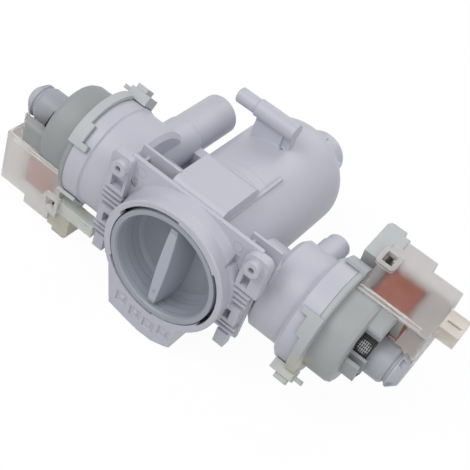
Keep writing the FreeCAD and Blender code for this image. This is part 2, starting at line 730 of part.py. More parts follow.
def make_top():
    """Box on the chamber, gussets behind the plate and the long rib."""
    low = (S.box_x, S.box_y, BOX_LOW)
    high = (S.box_x + S.box_wide, S.box_y + S.box_long, S.box_top)
    raw = block("top_box_raw", low, high)

    def top_edge(edge):
        return runs_along(edge, "x") and edge.BoundBox.ZMin > S.box_top.value - 0.1

    box = rounded("top_box", raw, BOX_ROUND, top_edge)
    back = S.plate_y + S.plate_thick
    behind = GUSSET_Y + GUSSET_THICK
    left = 1 - S.boss_x
    right = S.boss_x + 7
    rib_root = S.chamber_r - 4.4
    walls = [
        block("left_gusset", (left, GUSSET_Y, 20), (-21, behind, S.box_top + 1)),
        block("right_gusset", (36, GUSSET_Y, 20), (right, behind, S.box_top - 3)),
        block("left_web", (-45, back - 1, 20), (-43, behind, S.plate_top - 3.5)),
        block("right_web", (38, back - 1, 20), (40, behind, S.plate_top - 5.5)),
        block("left_bridge", (left, GUSSET_Y, 10), (-30, BRIDGE_BACK, 30)),
        block("right_bridge", (34, GUSSET_Y, 10), (right, BRIDGE_BACK, 28)),
    ]
    rib = block("long_rib", (RIB_X, GUSSET_Y, rib_root), (RIB_X + 2, RIB_BACK, rib_root + RIB_RISE))
    return [box] + walls + [rib]


def make_volute(sign, body_r):
    name = "left" if sign < 0 else "right"

    def span(part, r, near, far):
        low, high = (near, far) if sign > 0 else (-far, -near)
        return rod(name + "_" + part, "X", r, low, high, (S.pump_y, 0))

    def slope(part, r_near, r_far, near, far):
        ends = (near, far, r_near, r_far) if sign > 0 else (-far, -near, r_far, r_near)
        return taper(name + "_" + part, "X", ends[2], ends[3], ends[0], ends[1], (S.pump_y, 0))

    solid = [
        span("neck", S.neck_r, 25, S.waist_x + 1),
        slope("shoulder", body_r - 3, body_r, S.waist_x - 0.01, S.waist_x + 3),
        span("volute", body_r, S.waist_x + 2.9, S.ring_x),
        slope("ring_slope", S.ring_r - 2.4, S.ring_r, S.ring_x - 1.5, S.ring_x + 1),
        span("end_ring", S.ring_r, S.ring_x + 0.9, S.ring_end),
    ]
    floor = S.ring_end - S.groove_deep
    groove = cut(name + "_groove", span("groove_out", S.groove_out, floor, S.ring_end + 1),
                 span("groove_in", S.groove_in, floor - 1, S.ring_end + 2))
    hollow = [
        span("volute_room", S.volute_r, S.volute_x, S.ring_end + 1),
        span("eye", S.eye_r, 30, S.volute_x + 1),
        groove,
    ]
    return solid, hollow


def make_nozzles():
    drain = (S.drain_x, S.drain_z)
    circ = (S.circ_x, S.circ_z)
    drain_tip = S.drain_end - S.tip_round
    circ_tip = S.circ_end - S.tip_round
    step = S.drain_neck_y
    web_x = 6.4 - S.chamber_r
    web_low = S.drain_z - 12
    solid = [
        rod("drain_root", "Y", S.drain_neck_r, S.pump_y, step, drain),
        taper("drain_step", "Y", S.drain_neck_r, S.drain_r, step - 0.01, step + 2, drain),
        rod("drain_tube", "Y", S.drain_r, step, drain_tip, drain),
        taper("drain_tip", "Y", S.drain_r, S.drain_r - S.tip_round, drain_tip, S.drain_end, drain),
        rod("circ_root", "Y", S.circ_r + 1, S.pump_y, circ_tip - S.circ_seat, circ),
        rod("circ_tube", "Y", S.circ_r, S.pump_y, circ_tip, circ),
        taper("circ_tip", "Y", S.circ_r, S.circ_r - S.tip_round, circ_tip, S.circ_end, circ),
        block("drain_web", (S.drain_x + 8, S.pump_y + 20, web_low), (web_x, step + 1, web_low + 2.5)),
        block("drain_web_end", (S.drain_x + 10, step - 7, web_low), (web_x, step + 1, S.drain_z + 2)),
    ]
    hollow = [
        rod("drain_bore", "Y", S.drain_bore_r, S.pump_y + 10, S.drain_end + 1, drain),
        rod("circ_bore", "Y", S.circ_bore_r, S.pump_y + 6, S.circ_end + 1, circ),
    ]
    return solid, hollow


def make_nipple():
    across = (S.nipple_y, S.nipple_z)
    bevel = 0.8
    solid = [
        rod("nipple_thin", "X", S.nipple_thin_r, S.nipple_tip + bevel, S.nipple_step + 1, across),
        taper("nipple_tip", "X", S.nipple_thin_r - bevel, S.nipple_thin_r,
              S.nipple_tip, S.nipple_tip + bevel, across),
        rod("nipple_thick", "X", S.nipple_thick_r, S.nipple_step, S.nipple_end, across),
        block("nipple_web", (S.nipple_step + 2, S.nipple_y - 2.2, 30), (-1, S.nipple_y + 2.2, S.nipple_z)),
        block("nipple_post", (-1.5, S.nipple_y - 0.5, 34), (S.nipple_end - 0.5, S.nipple_y + 5, S.nipple_z)),
    ]
    hollow = [
        rod("nipple_bore", "X", S.nipple_bore_r, S.nipple_tip - 1, S.nipple_end - 4, across),
        rod("nipple_drop", "Z", 1.3, 30, S.nipple_z, (S.nipple_end - 12, S.nipple_y)),
        rod("small_hole", "Z", 1.3, 38.4, 44, (1.2, S.nipple_y - 2.5)),
    ]
    return solid, hollow


def make_rear():
    across = (S.stub_x, S.stub_z)
    start = S.chamber_y - 12
    tip = S.stub_y - S.tip_round
    root_end = tip - S.stub_seat
    solid = [
        rod("rear_root", "Y", S.stub_root_r, start, root_end, across),
        rod("rear_stub", "Y", S.stub_r, start, tip, across),
        taper("rear_tip", "Y", S.stub_r, S.stub_r - S.tip_round, tip, S.stub_y, across),
        block("rear_fin_one", (S.stub_x, start, S.stub_z + 10), (S.stub_x + 2, root_end, S.stub_z + 20)),
        block("rear_fin_two", (S.stub_x + 9, start, S.stub_z + 6), (S.stub_x + 19.5, root_end, S.stub_z + 8)),
        block("rear_fin_three", (S.stub_x + 14, start, S.stub_z - 3),
              (S.stub_x + 21, root_end, S.stub_z - 1)),
    ]
    hollow = [rod("rear_bore", "Y", S.stub_bore_r, S.chamber_y - 20, S.stub_y + 1, across)]
    return solid, hollow


def make_chamber_room():
    """The space inside the collar and chamber, with the bayonet track and its entries."""
    body = new_body("chamber_room")
    back = S.chamber_y - S.chamber_wall
    turned(body, "room_turned", "Y", [
        (-1, 0), (-1, S.collar_bore_r), (S.track_y, S.collar_bore_r), (S.track_y, S.track_r),
        (S.track_back_y, S.track_r), (S.track_back_y, S.collar_bore_r), (S.bore_y - 1.5, S.collar_bore_r),
        (S.bore_y, S.bore_r), (back, S.bore_r), (back, 0),
    ])
    soften(body, "room_back", S.dome_round - 2, lambda edge: is_circle(edge, S.bore_r, back, "y"))
    rooms = [body]
    for number, angle in enumerate(ENTRY_ANGLES):
        entry = doc.addObject("Part::Cylinder", "lug_entry_" + str(number))
        spin = FreeCAD.Rotation(FreeCAD.Vector(0, 1, 0), -(angle + S.entry_half.value))
        entry.Placement = FreeCAD.Placement(FreeCAD.Vector(), spin * TURN["Y"])
        bind(entry, "Radius", S.track_r)
        bind(entry, "Height", S.track_y + 2)
        bind(entry, "Angle", S.entry_half * 2)
        put(entry, (0, -1, 0))
        rooms.append(entry)
    return rooms


def make_housing():
    solid = [make_chamber()] + make_hood() + make_lip() + make_top()
    hollow = make_chamber_room()
    groups = [
        make_side(-1, S.left_near, S.left_far, (45.5, 60.5), 3, (47.5, 56.5)),
        make_side(1, S.right_near, S.right_far, (43, 59.5), 5.5, (46, 51.4)),
        make_volute(-1, S.drain_body_r), make_volute(1, S.circ_body_r),
        make_nozzles(), make_nipple(), make_rear(),
    ]
    for more_solid, more_hollow in groups:
        solid += more_solid
        hollow += more_hollow
    whole = fuse("housing_solid", solid)
    rooms = fuse("housing_rooms", hollow)
    return cut("pump_housing", whole, rooms)


# Motors, built with the pump axis as X, the middle plane of the pump at zero and the coils towards +Z
CAP_NOTCHES = 4
NOTCH_HALF = 2.6
BLADES = 6
COVER_WALL = 2.2
# Each bayonet tab: start angle, width in degrees, how far it reaches over the end ring
TABS = ((-148, 25, 9.6), (-148, 6, 14.6), (-124, 60, 6.2), (122, 26, 14.6), (-13, 36, 14.6))
LATCH_HALF = 7.0
LATCH_OUT = 45.0
LATCH_HEAD = 3.5
CLIP_LOW = -4.0
CLIP_HIGH = 15.5
# Each foot behind the core's open end: from and to below the core, and how far short of the foot's end
FEET = (("foot_bar", 0.3, 2.6, 0), ("foot", 6.4, 9.2, 1))
FOOT_FRONT = 12.0
FOOT_BACK = 4.0


def make_latch(name, angle):
    """The finger latch on the cover's edge, turned to its angle about the pump axis."""
    turn = FreeCAD.Rotation(FreeCAD.Vector(1, 0, 0), angle - 90)
    back = S.flange_x + S.flange_thick
    half = LATCH_HALF
    parts = (
        ("latch_root", (S.tab_x, -half, S.flange_r - 2), (back + 1, half, LATCH_OUT)),
        ("latch_head", (S.tab_x + 5, 2 - half, LATCH_OUT - 1), (back - 1, half - 2, LATCH_OUT + LATCH_HEAD)),
        ("latch_finger", (back, 3 - half, LATCH_OUT - 5), (back + 7, half - 3, LATCH_OUT - 2)),
    )
    pieces = []
    for part, low, high in parts:
        piece = doc.addObject("Part::Compound", name + "_" + part + "_turned")
        piece.Links = [block(name + "_" + part, low, high)]
        piece.Placement = FreeCAD.Placement(FreeCAD.Vector(), turn)
        pieces.append(piece)
    return pieces


def make_clip(name, end):
    """The mint clip that reaches over the core's visible side."""
    low = (S.core_x - 2, -S.clip_out, CLIP_LOW)
    raw = block(name + "_core_clip_raw", low, (end, -(S.core_half + S.seat_gap), CLIP_HIGH))

    def outer_edge(edge):
        outside = edge.BoundBox.YMax < -S.clip_out.value + 0.1
        return outside and (not runs_along(edge, "z") or edge.BoundBox.XMin > end.value - 0.1)

    return rounded(name + "_core_clip", raw, 3, outer_edge)


def make_cover(name, dome_x, latch_angle, clip_end, foot_end):
    body = new_body(name + "_cover_turned")
    back = S.flange_x + S.flange_thick
    wall = COVER_WALL
    turned(body, name + "_cover_shape", "X", [
        (S.flange_x, S.can_r + 0.2), (S.flange_x, S.flange_r - 0.5), (S.flange_x + 0.5, S.flange_r),
        (back - 1, S.flange_r), (back, S.flange_r - 1), (back, S.dome_r), (dome_x - 4, S.dome_r),
        (dome_x - 1.2, S.dome_r - 1.2), (dome_x, S.dome_r - 4), (dome_x, S.can_r + 1.2),
        (dome_x - wall, S.can_r + 1.2), (dome_x - wall, S.dome_r - 5), (dome_x - wall - 3, S.dome_r - wall),
        (back, S.dome_r - wall), (back, S.can_r + 0.2),
    ])
    solid = [body, make_clip(name, clip_end)] + make_latch(name, latch_angle)
    for number, (start, width, reach) in enumerate(TABS):
        tab = doc.addObject("Part::Cylinder", name + "_tab_" + str(number))
        spin = FreeCAD.Rotation(FreeCAD.Vector(1, 0, 0), start + 90)
        tab.Placement = FreeCAD.Placement(FreeCAD.Vector(), spin * TURN["X"])
        bind(tab, "Radius", S.tab_r)
        bind(tab, "Height", reach)
        tab.Angle = width
        put(tab, (back - reach, 0, 0))
        solid.append(tab)
    for part, top, bottom, short in FEET:
        low = (dome_x - 6, -FOOT_FRONT, S.core_low - bottom)
        solid.append(block(name + "_core_" + part, low, (foot_end - short, FOOT_BACK, S.core_low - top)))
    whole = fuse(name + "_cover_solid", solid)
    room = S.seat_gap
    side = S.core_half + room
    coil_side = S.coil_out + 2
    tools = [
        rod(name + "_ring_room", "X", S.ring_r + S.tab_gap, S.tab_x - 1, S.flange_x),
        rod(name + "_shaft_room", "X", S.can_r + 0.2, S.flange_x - 1, back + 0.1),
        block(name + "_core_room", (S.core_x - room, -side, S.core_low - room),
              (S.core_x + S.core_thick + room, side, S.core_top)),
        block(name + "_coil_room", (S.coil_x - 1.2, -coil_side, S.coil_low - 1.8),
              (dome_x + 1, coil_side, S.coil_top)),
    ]
    return cut(name + "_motor_cover", whole, fuse(name + "_cover_rooms", tools))


def make_cover_seal(name):
    thing = doc.addObject("Part::Torus", name + "_cover_seal")
    thing.Placement = FreeCAD.Placement(FreeCAD.Vector(), TURN["X"])
    bind(thing, "Radius1", (S.groove_in + S.groove_out) / 2)
    bind(thing, "Radius2", (S.groove_out - S.groove_in) / 2 - 0.15)
    put(thing, (S.ring_end - S.groove_deep / 2, 0, 0))
    return thing


def make_can(name, can_end):
    body = new_body(name + "_rotor_can")
    seat_x = can_end - S.seat_back
    seat = seat_x + S.bearing_long
    floor = can_end - 1.5
    lip_back = S.can_x + 2.4
    turned(body, name + "_can_shape", "X", [
        (S.can_x, S.can_bore_r), (S.can_x, S.can_lip_r), (lip_back, S.can_lip_r), (lip_back, S.can_r),
        (can_end - 2.6, S.can_r), (can_end - 0.8, S.can_r - 0.9), (can_end, S.can_r - 2.4), (can_end, 0),
        (floor, 0), (floor, S.shaft_r + 0.5), (seat, S.shaft_r + 0.5), (seat, S.rear_seat_r),
        (seat_x - 0.3, S.rear_seat_r), (seat_x - 0.3, S.can_bore_r),
    ])
    return body


def make_can_cap(name, can_end):
    body = new_body(name + "_can_cap")
    end = can_end + S.cap_long
    shoulder = can_end + S.cap_straight
    turned(body, name + "_can_cap_shape", "X", [
        (can_end, 0), (can_end, S.can_r - 2.4), (can_end + 1, S.can_r - 2.2), (can_end + 1.8, S.can_r - 0.8),
        (shoulder + 1, S.can_r - 0.6), (end - 0.8, S.cap_end_r + 0.8), (end, S.cap_end_r), (end, 0),
    ])
    outline = rectangle((-NOTCH_HALF, S.cap_end_r + 2), (NOTCH_HALF, S.can_r + 2))
    notch = pocket(body, name + "_can_notch", "YZ", outline, shoulder + 0.6, S.cap_long)
    polar(body, name + "_can_notches", notch, CAP_NOTCHES)
    return body


def make_core(name):
    body = new_body(name + "_core")
    side = S.core_half
    low = S.core_low
    bevel = S.core_bevel
    pad(body, name + "_laminations", "YZ", [
        (-side, low + bevel), (-side + bevel, low), (-S.pole_gap, low), (-S.pole_gap, S.pole_top),
        (-S.leg_in, S.pole_top), (-S.leg_in, S.yoke_low), (S.leg_in, S.yoke_low), (S.leg_in, S.pole_top),
        (S.pole_gap, S.pole_top), (S.pole_gap, low), (side - bevel, low), (side, low + bevel),
        (side, S.core_top), (-side, S.core_top),
    ], S.core_x, S.core_thick)
    round_pocket(body, name + "_core_bore", "YZ", S.core_bore_r, S.core_x - 1, S.core_thick + 2)
    return body


def pair(name, part, low, high):
    """A block on the front leg and its mirror on the back leg."""
    (x0, y0, z0), (x1, y1, z1) = low, high
    return [
        block(name + "_front_" + part, (x0, -as_size(y1), z0), (x1, -as_size(y0), z1)),
        block(name + "_back_" + part, low, high),
    ]


def make_bobbins(name):
    leg_low = (S.core_x - S.slip, S.leg_in - S.slip)
    leg_high = (S.core_x + S.core_thick + S.slip, S.core_half + S.slip)
    wall = S.bobbin_wall
    tube = pair(name, "bobbin_tube", (leg_low[0] - wall, leg_low[1] - wall, S.coil_low - 1),
                (leg_high[0] + wall, leg_high[1] + wall, S.coil_top + 1))
    ends = []
    for part, z0 in (("bobbin_end", S.coil_low - 1.5), ("bobbin_top", S.coil_top + 0.1)):
        ends += pair(name, part, (S.coil_x - 0.8, S.coil_in - 0.8, z0),
                     (S.coil_x + S.coil_wide + 0.8, S.coil_out + 0.8, z0 + 1.4))
    holes = pair(name, "bobbin_hole", (leg_low[0], leg_low[1], S.coil_low - 4),
                 (leg_high[0], leg_high[1], S.coil_top + 4))
    solid = fuse(name + "_bobbin_solid", tube + ends)
    return cut(name + "_bobbins", solid, fuse(name + "_bobbin_holes", holes))


def make_windings(name):
    outer = pair(name, "wire_block", (S.coil_x, S.coil_in, S.coil_low),
                 (S.coil_x + S.coil_wide, S.coil_out, S.coil_top))
    soft = [rounded(thing.Name + "_round", thing, S.coil_round, lambda edge: runs_along(edge, "z"))
            for thing in outer]
    gap = S.slip + S.bobbin_wall + 0.05
    back = S.core_x + S.core_thick
    holes = pair(name, "wire_hole", (S.core_x - gap, S.leg_in - gap, S.coil_low - 1),
                 (back + gap, S.core_half + gap, S.coil_top + 1))
    return cut(name + "_windings", fuse(name + "_wire_solid", soft), fuse(name + "_wire_holes", holes))


WINDOW_X = (99.2, 106.8)
WINDOW_Z = (36.6, 45.0)
FRAME_WIDE = 2.6
FRAME_OUT = 3.0
STEP_SHORT = 6.0
# Lower and upper side of each thin rib, counted from the coil housing's lower edge
SIDE_RIBS = ((0, 1.4), (3, 4))
RIB_OUT = 0.8
RIB_SHORT = 6.0


def make_window_frame(name):
    low = (WINDOW_X[0] - FRAME_WIDE, -(S.house_half + FRAME_OUT), WINDOW_Z[0] - FRAME_WIDE)
    high = (WINDOW_X[1] + FRAME_WIDE, 0.2 - S.house_half, WINDOW_Z[1] + FRAME_WIDE)
    raw = block(name + "_window_raw", low, high)
    return rounded(name + "_window_frame", raw, 2, lambda edge: runs_along(edge, "y"))


def make_coil_housing(name, dome_x, port):
    half = S.house_half
    wall = S.house_wall
    low, end = S.house_low, S.house_end
    step = S.house_x + STEP_SHORT
    outer = [
        block(name + "_house", (S.house_x, -half, low), (end, half, S.house_step)),
        block(name + "_house_step", (step, -half, S.house_step - 0.01), (S.step_x, half, S.house_top)),
        block(name + "_end_skirt", (end - wall, -S.skirt_half, S.skirt_low), (end, S.skirt_half, low + 1)),
        make_window_frame(name),
    ]
    for number, (bottom, top) in enumerate(SIDE_RIBS):
        outer.append(block(name + "_side_rib_" + str(number), (S.house_x, -(half + RIB_OUT), low + bottom),
                           (end - RIB_SHORT, 0.2 - half, low + top)))
    inner = [
        block(name + "_house_room", (S.house_x + wall, wall - half, low - 1),
              (end - wall, half - wall, S.house_step - wall)),
        block(name + "_step_room", (step + wall, wall - half, low),
              (S.step_x - wall, half - wall, S.house_top - wall)),
        block(name + "_window", (WINDOW_X[0], -(half + FRAME_OUT + 1), WINDOW_Z[0]),
              (WINDOW_X[1], wall + 1 - half, WINDOW_Z[1])),
        rod(name + "_dome_room", "X", S.dome_r + S.seat_gap, S.flange_x, dome_x + S.seat_gap),
        rod(name + "_can_room", "X", S.can_r + S.seat_gap, end - 4, end + 1),
    ]
    (x0, y0, z0), (x1, y1, z1), open_x, slit = port
    outer.append(block(name + "_port", (x0, y0, z0), (x1, y1, z1)))
    side = S.port_wall
    inner.append(block(name + "_port_room", (open_x[0], y0 + wall, z0 + wall),
                       (open_x[1], y1 - side, z1 - wall)))
    inner.append(block(name + "_port_slit", (slit[0], y0 - 1, slit[2]), (slit[1], y0 + wall + 1, slit[3])))
    return cut(name + "_coil_housing", fuse(name + "_house_solid", outer), fuse(name + "_house_rooms", inner))


BLOCK_X = 87.0
BLOCK_Y = (-28.5, -8.0)
BLOCK_ROUND = 4.0
BLOCK_STEP = 3.5
ARM_Y = (-28.5, -12.0)


def make_end_block(name, arm_low):
    """The moulded block at the housing's upper end, with an arm down its inner side."""
    low = (BLOCK_X, BLOCK_Y[0], S.house_step + S.seat_gap)
    raw = block(name + "_end_block_raw", low, (S.house_x + 5.7, BLOCK_Y[1], S.block_top))
    soft = rounded(name + "_end_block_soft", raw, BLOCK_ROUND, lambda edge: runs_along(edge, "y")
                   and edge.BoundBox.XMax < BLOCK_X + 0.1 and edge.BoundBox.ZMin > S.house_step.value + 1)
    arm = block(name + "_end_block_arm", (BLOCK_X, ARM_Y[0], arm_low),
                (S.house_x - S.seat_gap, ARM_Y[1], S.house_top - 0.5))
    step = block(name + "_end_block_step", (S.house_x + 1, BLOCK_Y[0] - 1, S.block_top - BLOCK_STEP),
                 (S.house_x + 7, BLOCK_Y[1] + 1, S.block_top + 1))
    return cut(name + "_end_block", fuse(name + "_end_block_solid", [soft, arm]), step)


CARRIER_X = (106.5, 124.5)
CARRIER_Y = (-24.0, -4.0)
CARRIER_HIGH = 2.4
POST_STEP = 8.0
POST_LONG = 3.0


def make_terminal_carrier(name):
    """Flat base on the coil housing with two posts."""
    low = S.house_top + 0.1
    top = S.house_top + CARRIER_HIGH
    front, back = CARRIER_X
    parts = [block(name + "_carrier_base", (front, CARRIER_Y[0], low), (back, CARRIER_Y[1], top))]
    for number in range(2):
        start = front + 3.5 + POST_STEP * number
        parts.append(block(name + "_carrier_post_" + str(number), (start, CARRIER_Y[0] + 4, top - 0.4),
                           (start + POST_LONG, CARRIER_Y[1] - 5, top + 1.6)))
    return fuse(name + "_terminal_carrier", parts)


BLADE_THICK = 0.8
BLADE_WIDE = 6.3


def make_terminals(name, start, end, height, depths):
    """Two flat blades inside the plug port."""
    blades = []
    for number, depth in enumerate(depths):
        blades.append(block(name + "_blade_raw_" + str(number), (start, depth, height),
                            (end, depth + BLADE_THICK, height + BLADE_WIDE)))
    return fuse(name + "_terminals", blades)


def bearing(name, part, start, r_out):
    body = new_body(name + "_" + part)
    inside = S.shaft_r + S.shaft_fit
    turned(body, name + "_" + part + "_shape", "X", [
        (start, inside), (start, r_out), (start + S.bearing_long, r_out), (start + S.bearing_long, inside),
    ])
    return body


def make_shaft(name, can_end):
    body = new_body(name + "_shaft")
    far = can_end - S.shaft_room
    turned(body, name + "_shaft_shape", "X", [
        (S.shaft_in, 0), (S.shaft_in, S.shaft_r - 0.4), (S.shaft_in + 0.4, S.shaft_r),
        (far - 0.4, S.shaft_r), (far, S.shaft_r - 0.4), (far, 0),
    ])
    return body


def make_magnet(name):
    body = new_body(name + "_magnet")
    end = S.magnet_x + S.magnet_long
    turned(body, name + "_magnet_shape", "X", [
        (S.magnet_x, S.shaft_r), (S.magnet_x, S.magnet_r - 0.6), (S.magnet_x + 0.6, S.magnet_r),
        (end - 0.6, S.magnet_r), (end, S.magnet_r - 0.6), (end, S.shaft_r),
    ])
    return body


DOG_X = 81.2
DOG_LONG = 6.6
DOG_HUB_R = 4.2
DOG_HALF = 2.0
DOG_REACH = 7.5
CUP_R = 8.0
CUP_X = 80.6
IMPELLER_FRONT = 68.0
IMPELLER_BACK = 89.5
HUB_R = 9.8
DISC_R = 22.0
DISC_THICK = 2.0
BLADE_R = 25.0


def make_dog(name):
    body = new_body(name + "_drive_dog")
    turned(body, name + "_dog_hub", "X", [
        (DOG_X, S.shaft_r), (DOG_X, DOG_HUB_R), (DOG_X + DOG_LONG, DOG_HUB_R), (DOG_X + DOG_LONG, S.shaft_r),
    ])
    fin = rectangle((-DOG_HALF, -DOG_REACH), (DOG_HALF, -DOG_HUB_R + 0.6))
    pad(body, name + "_dog_fin", "YZ", fin, DOG_X, DOG_LONG)
    return body


def make_impeller(name):
    body = new_body(name + "_impeller")
    bore = S.shaft_r + S.shaft_fit
    disc = IMPELLER_BACK - DISC_THICK
    turned(body, name + "_hub", "X", [
        (IMPELLER_FRONT, 0), (IMPELLER_FRONT, HUB_R - 4), (IMPELLER_FRONT + 4, HUB_R),
        (disc, HUB_R), (disc, DISC_R), (IMPELLER_BACK, DISC_R), (IMPELLER_BACK, CUP_R),
        (CUP_X, CUP_R), (CUP_X, bore), (S.shaft_in - 0.3, bore), (S.shaft_in - 0.3, 0),
    ])
    vane = [
        (-1.0, HUB_R - 1.2), (1.0, HUB_R - 1.2), (2.2, 17), (5.6, BLADE_R - 0.8), (4.0, BLADE_R), (0.2, 17.6),
    ]
    blade = pad(body, name + "_blade", "YZ", vane, IMPELLER_FRONT + 3, IMPELLER_BACK - IMPELLER_FRONT - 4)
    polar(body, name + "_blades", blade, BLADES)
    pad(body, name + "_lug", "YZ", rectangle((-DOG_HALF, DOG_HUB_R + 0.4), (DOG_HALF, CUP_R + 0.5)),
        CUP_X - 0.2, IMPELLER_BACK - CUP_X - 1)
    return body


def motor_place(angle, flip):
    """Turns a motor built along +X so that its coils point at this angle from +Y towards +Z."""
    turn = FreeCAD.Rotation(FreeCAD.Vector(1, 0, 0), angle + 90 if flip else angle - 90)
    if flip:
        turn = turn * FreeCAD.Rotation(FreeCAD.Vector(0, 1, 0), 180)
    return FreeCAD.Placement(FreeCAD.Vector(), turn)


def set_motor(things, angle, flip):
    for thing in things:
        own = thing.Placement
        place = motor_place(angle, flip)
        if thing.TypeId == "Part::Torus":
            for key in "xyz":
                thing.setExpression("Placement.Base." + key, None)
            side = -1 if flip else 1
            thing.Placement = FreeCAD.Placement(FreeCAD.Vector(), place.Rotation * own.Rotation)
            put(thing, (side * (S.ring_end - S.groove_deep / 2), S.pump_y, 0))
        else:
            thing.Placement = place
            put(thing, (0, S.pump_y, 0))


class Motor:
    """What differs between the two motors."""

    def __init__(self, **values):
        self.__dict__.update(values)


def make_motor(m):
    name = m.name
    things = [
        make_cover(name, m.dome_x, m.latch_angle, m.clip_end, m.foot_end), make_cover_seal(name),
        make_can(name, m.can_end), make_can_cap(name, m.can_end),
        make_core(name), make_bobbins(name), make_windings(name),
        make_coil_housing(name, m.dome_x, m.port), make_end_block(name, m.arm_low),
        make_terminal_carrier(name), make_terminals(name, *m.blades),
        bearing(name, "front_bearing", S.bearing_in, S.can_bore_r),
        bearing(name, "rear_bearing", m.can_end - S.seat_back, S.rear_seat_r),
        make_shaft(name, m.can_end), make_magnet(name), make_dog(name), make_impeller(name),
    ]
    set_motor(things, m.angle, m.flip)
    return things


core_end = S.core_x + S.core_thick
port_front = -S.house_half
blade_start = S.house_end + S.house_wall
blade_end = S.house_x - 3

# Each port: its lower and upper corner, the ends of its room, and the slit as x from, x to, z from, z to.
# Blades: from, to, height, and the depths of the two.
drain_motor = Motor(
    name="drain", angle=270, flip=True, dome_x=S.drain_dome_x, can_end=S.drain_can_end,
    latch_angle=-48, clip_end=core_end + 12, foot_end=S.drain_dome_x + 1.5, arm_low=46.8,
    port=((67.5, port_front, 36.5), (S.house_x + 1, -21, 46.5), (66, blade_end), (70.7, 79, 38.2, 39.9)),
    blades=(70, blade_end, 38.4, (-26.8, -23.8)),
)
circ_motor = Motor(
    name="circulation", angle=15, flip=False, dome_x=S.circ_dome_x, can_end=S.circ_can_end,
    latch_angle=-64, clip_end=core_end + 1, foot_end=S.circ_dome_x + 11, arm_low=38,
    port=((S.house_end - 0.5, port_front, 25), (164, -16, 40), (blade_start, 165), (152.5, 162, 30.6, 32.6)),
    blades=(blade_start, 161, 29, (-25.2, -20.6)),
)

nodes = [make_cap(), make_seal(), make_strainer(), make_housing()]
nodes += make_motor(drain_motor)
nodes += make_motor(circ_motor)
doc.recompute()

faults = [thing.Name + " " + str(thing.State) for thing in doc.Objects
          if "Invalid" in thing.State or "Error" in thing.State]
if faults:
    raise RuntimeError("; ".join(faults))
for thing in nodes:
    if thing.Shape.isNull() or not thing.Shape.isValid():
        raise RuntimeError(thing.Name + " has a faulty shape")
for thing in nodes:
    thing.Label = thing.Name
    thing.Shape.exportStep("parts/" + thing.Label + ".step")
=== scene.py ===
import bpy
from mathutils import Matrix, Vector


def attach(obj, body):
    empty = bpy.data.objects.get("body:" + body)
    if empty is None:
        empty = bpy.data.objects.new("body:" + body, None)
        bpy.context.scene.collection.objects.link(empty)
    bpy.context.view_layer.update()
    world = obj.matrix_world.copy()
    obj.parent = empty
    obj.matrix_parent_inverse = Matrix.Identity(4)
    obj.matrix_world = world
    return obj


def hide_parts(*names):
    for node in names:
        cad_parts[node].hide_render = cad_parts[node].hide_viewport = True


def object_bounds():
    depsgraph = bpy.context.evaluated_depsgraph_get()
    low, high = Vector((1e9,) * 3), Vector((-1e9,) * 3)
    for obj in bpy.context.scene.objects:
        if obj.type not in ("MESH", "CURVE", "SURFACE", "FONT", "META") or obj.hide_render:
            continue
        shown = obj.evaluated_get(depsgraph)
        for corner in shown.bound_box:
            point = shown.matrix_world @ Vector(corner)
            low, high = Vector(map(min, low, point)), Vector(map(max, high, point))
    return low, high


bl_info = {
    "name": "Circulation Pump",
    "version": (1, 0, 0),
    "blender": (4, 5, 0),
    "location": "View3D > Sidebar > Pump",
    "description": "Finishes, windings, laminated cores and stage for a washing machine's circulation pump",
    "category": "Object",
}

import math

import bmesh
import bpy
from mathutils import Matrix, Vector

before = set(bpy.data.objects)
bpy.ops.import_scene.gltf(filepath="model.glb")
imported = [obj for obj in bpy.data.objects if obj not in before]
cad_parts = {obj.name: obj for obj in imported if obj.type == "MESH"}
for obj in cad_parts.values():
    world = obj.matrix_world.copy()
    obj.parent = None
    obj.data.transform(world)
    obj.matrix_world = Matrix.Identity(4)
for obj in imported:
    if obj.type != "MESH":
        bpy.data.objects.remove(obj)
CAD_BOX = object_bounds()

# A point on the axis that both motors share, and how far the circulation motor's coils lean back
PUMP_AXIS = Vector((0.0, 0.052, 0.0))
COILS_LEAN = math.radians(75)

# Each motor was drawn along +X with its coils up, then turned into its place: the drain motor half way
# round, so that its coils hang down, and the circulation motor about the axis.
MOTORS = {
    "drain": Matrix.Translation(PUMP_AXIS) @ Matrix.Rotation(math.pi, 4, "Y"),
    "circulation": Matrix.Translation(PUMP_AXIS) @ Matrix.Rotation(-COILS_LEAN, 4, "X"),
}


# What a user would change


def length(name, default, description):
    """A size in metres."""
    return bpy.props.FloatProperty(
        name=name, description=description, default=default, min=0.0, precision=5, unit="LENGTH"
    )


def colour(name, default, description):
    """A base colour."""
    return bpy.props.FloatVectorProperty(
        name=name, description=description, default=default, size=3, min=0.0, max=1.0, subtype="COLOR"
    )


class PumpSizes(bpy.types.PropertyGroup):
    """Sizes of the pieces that the frame's solids leave plain"""

    wire_radius: length("Wire radius", 0.0003, "Half the thickness of the motor's copper wire")
    wire_pitch: length("Wire pitch", 0.00062, "Distance from one turn of wire to the next")
    coil_corner: length("Coil corner", 0.0040, "Corner radius of the windings")
    sheet_pitch: length("Sheet pitch", 0.00065, "Distance from one steel sheet of a core to the next")
    sheet_thickness: length("Sheet thickness", 0.0005, "Thickness of one steel sheet of a core")
    edge_round: length("Edge rounding", 0.0006, "Radius that moulded edges show in the light")
    # The coil housings' whitish edges are cloudy plastic and partly a painted highlight
    case_edge: length("Case edge", 0.0008, "Width of the coil housings' cloudy edges")
    hatch_pitch: length("Hatch pitch", 0.0013, "Distance between the bright lines on the cores' cut edges")
    floor_size: length("Floor size", 6.0, "Side of the square floor")


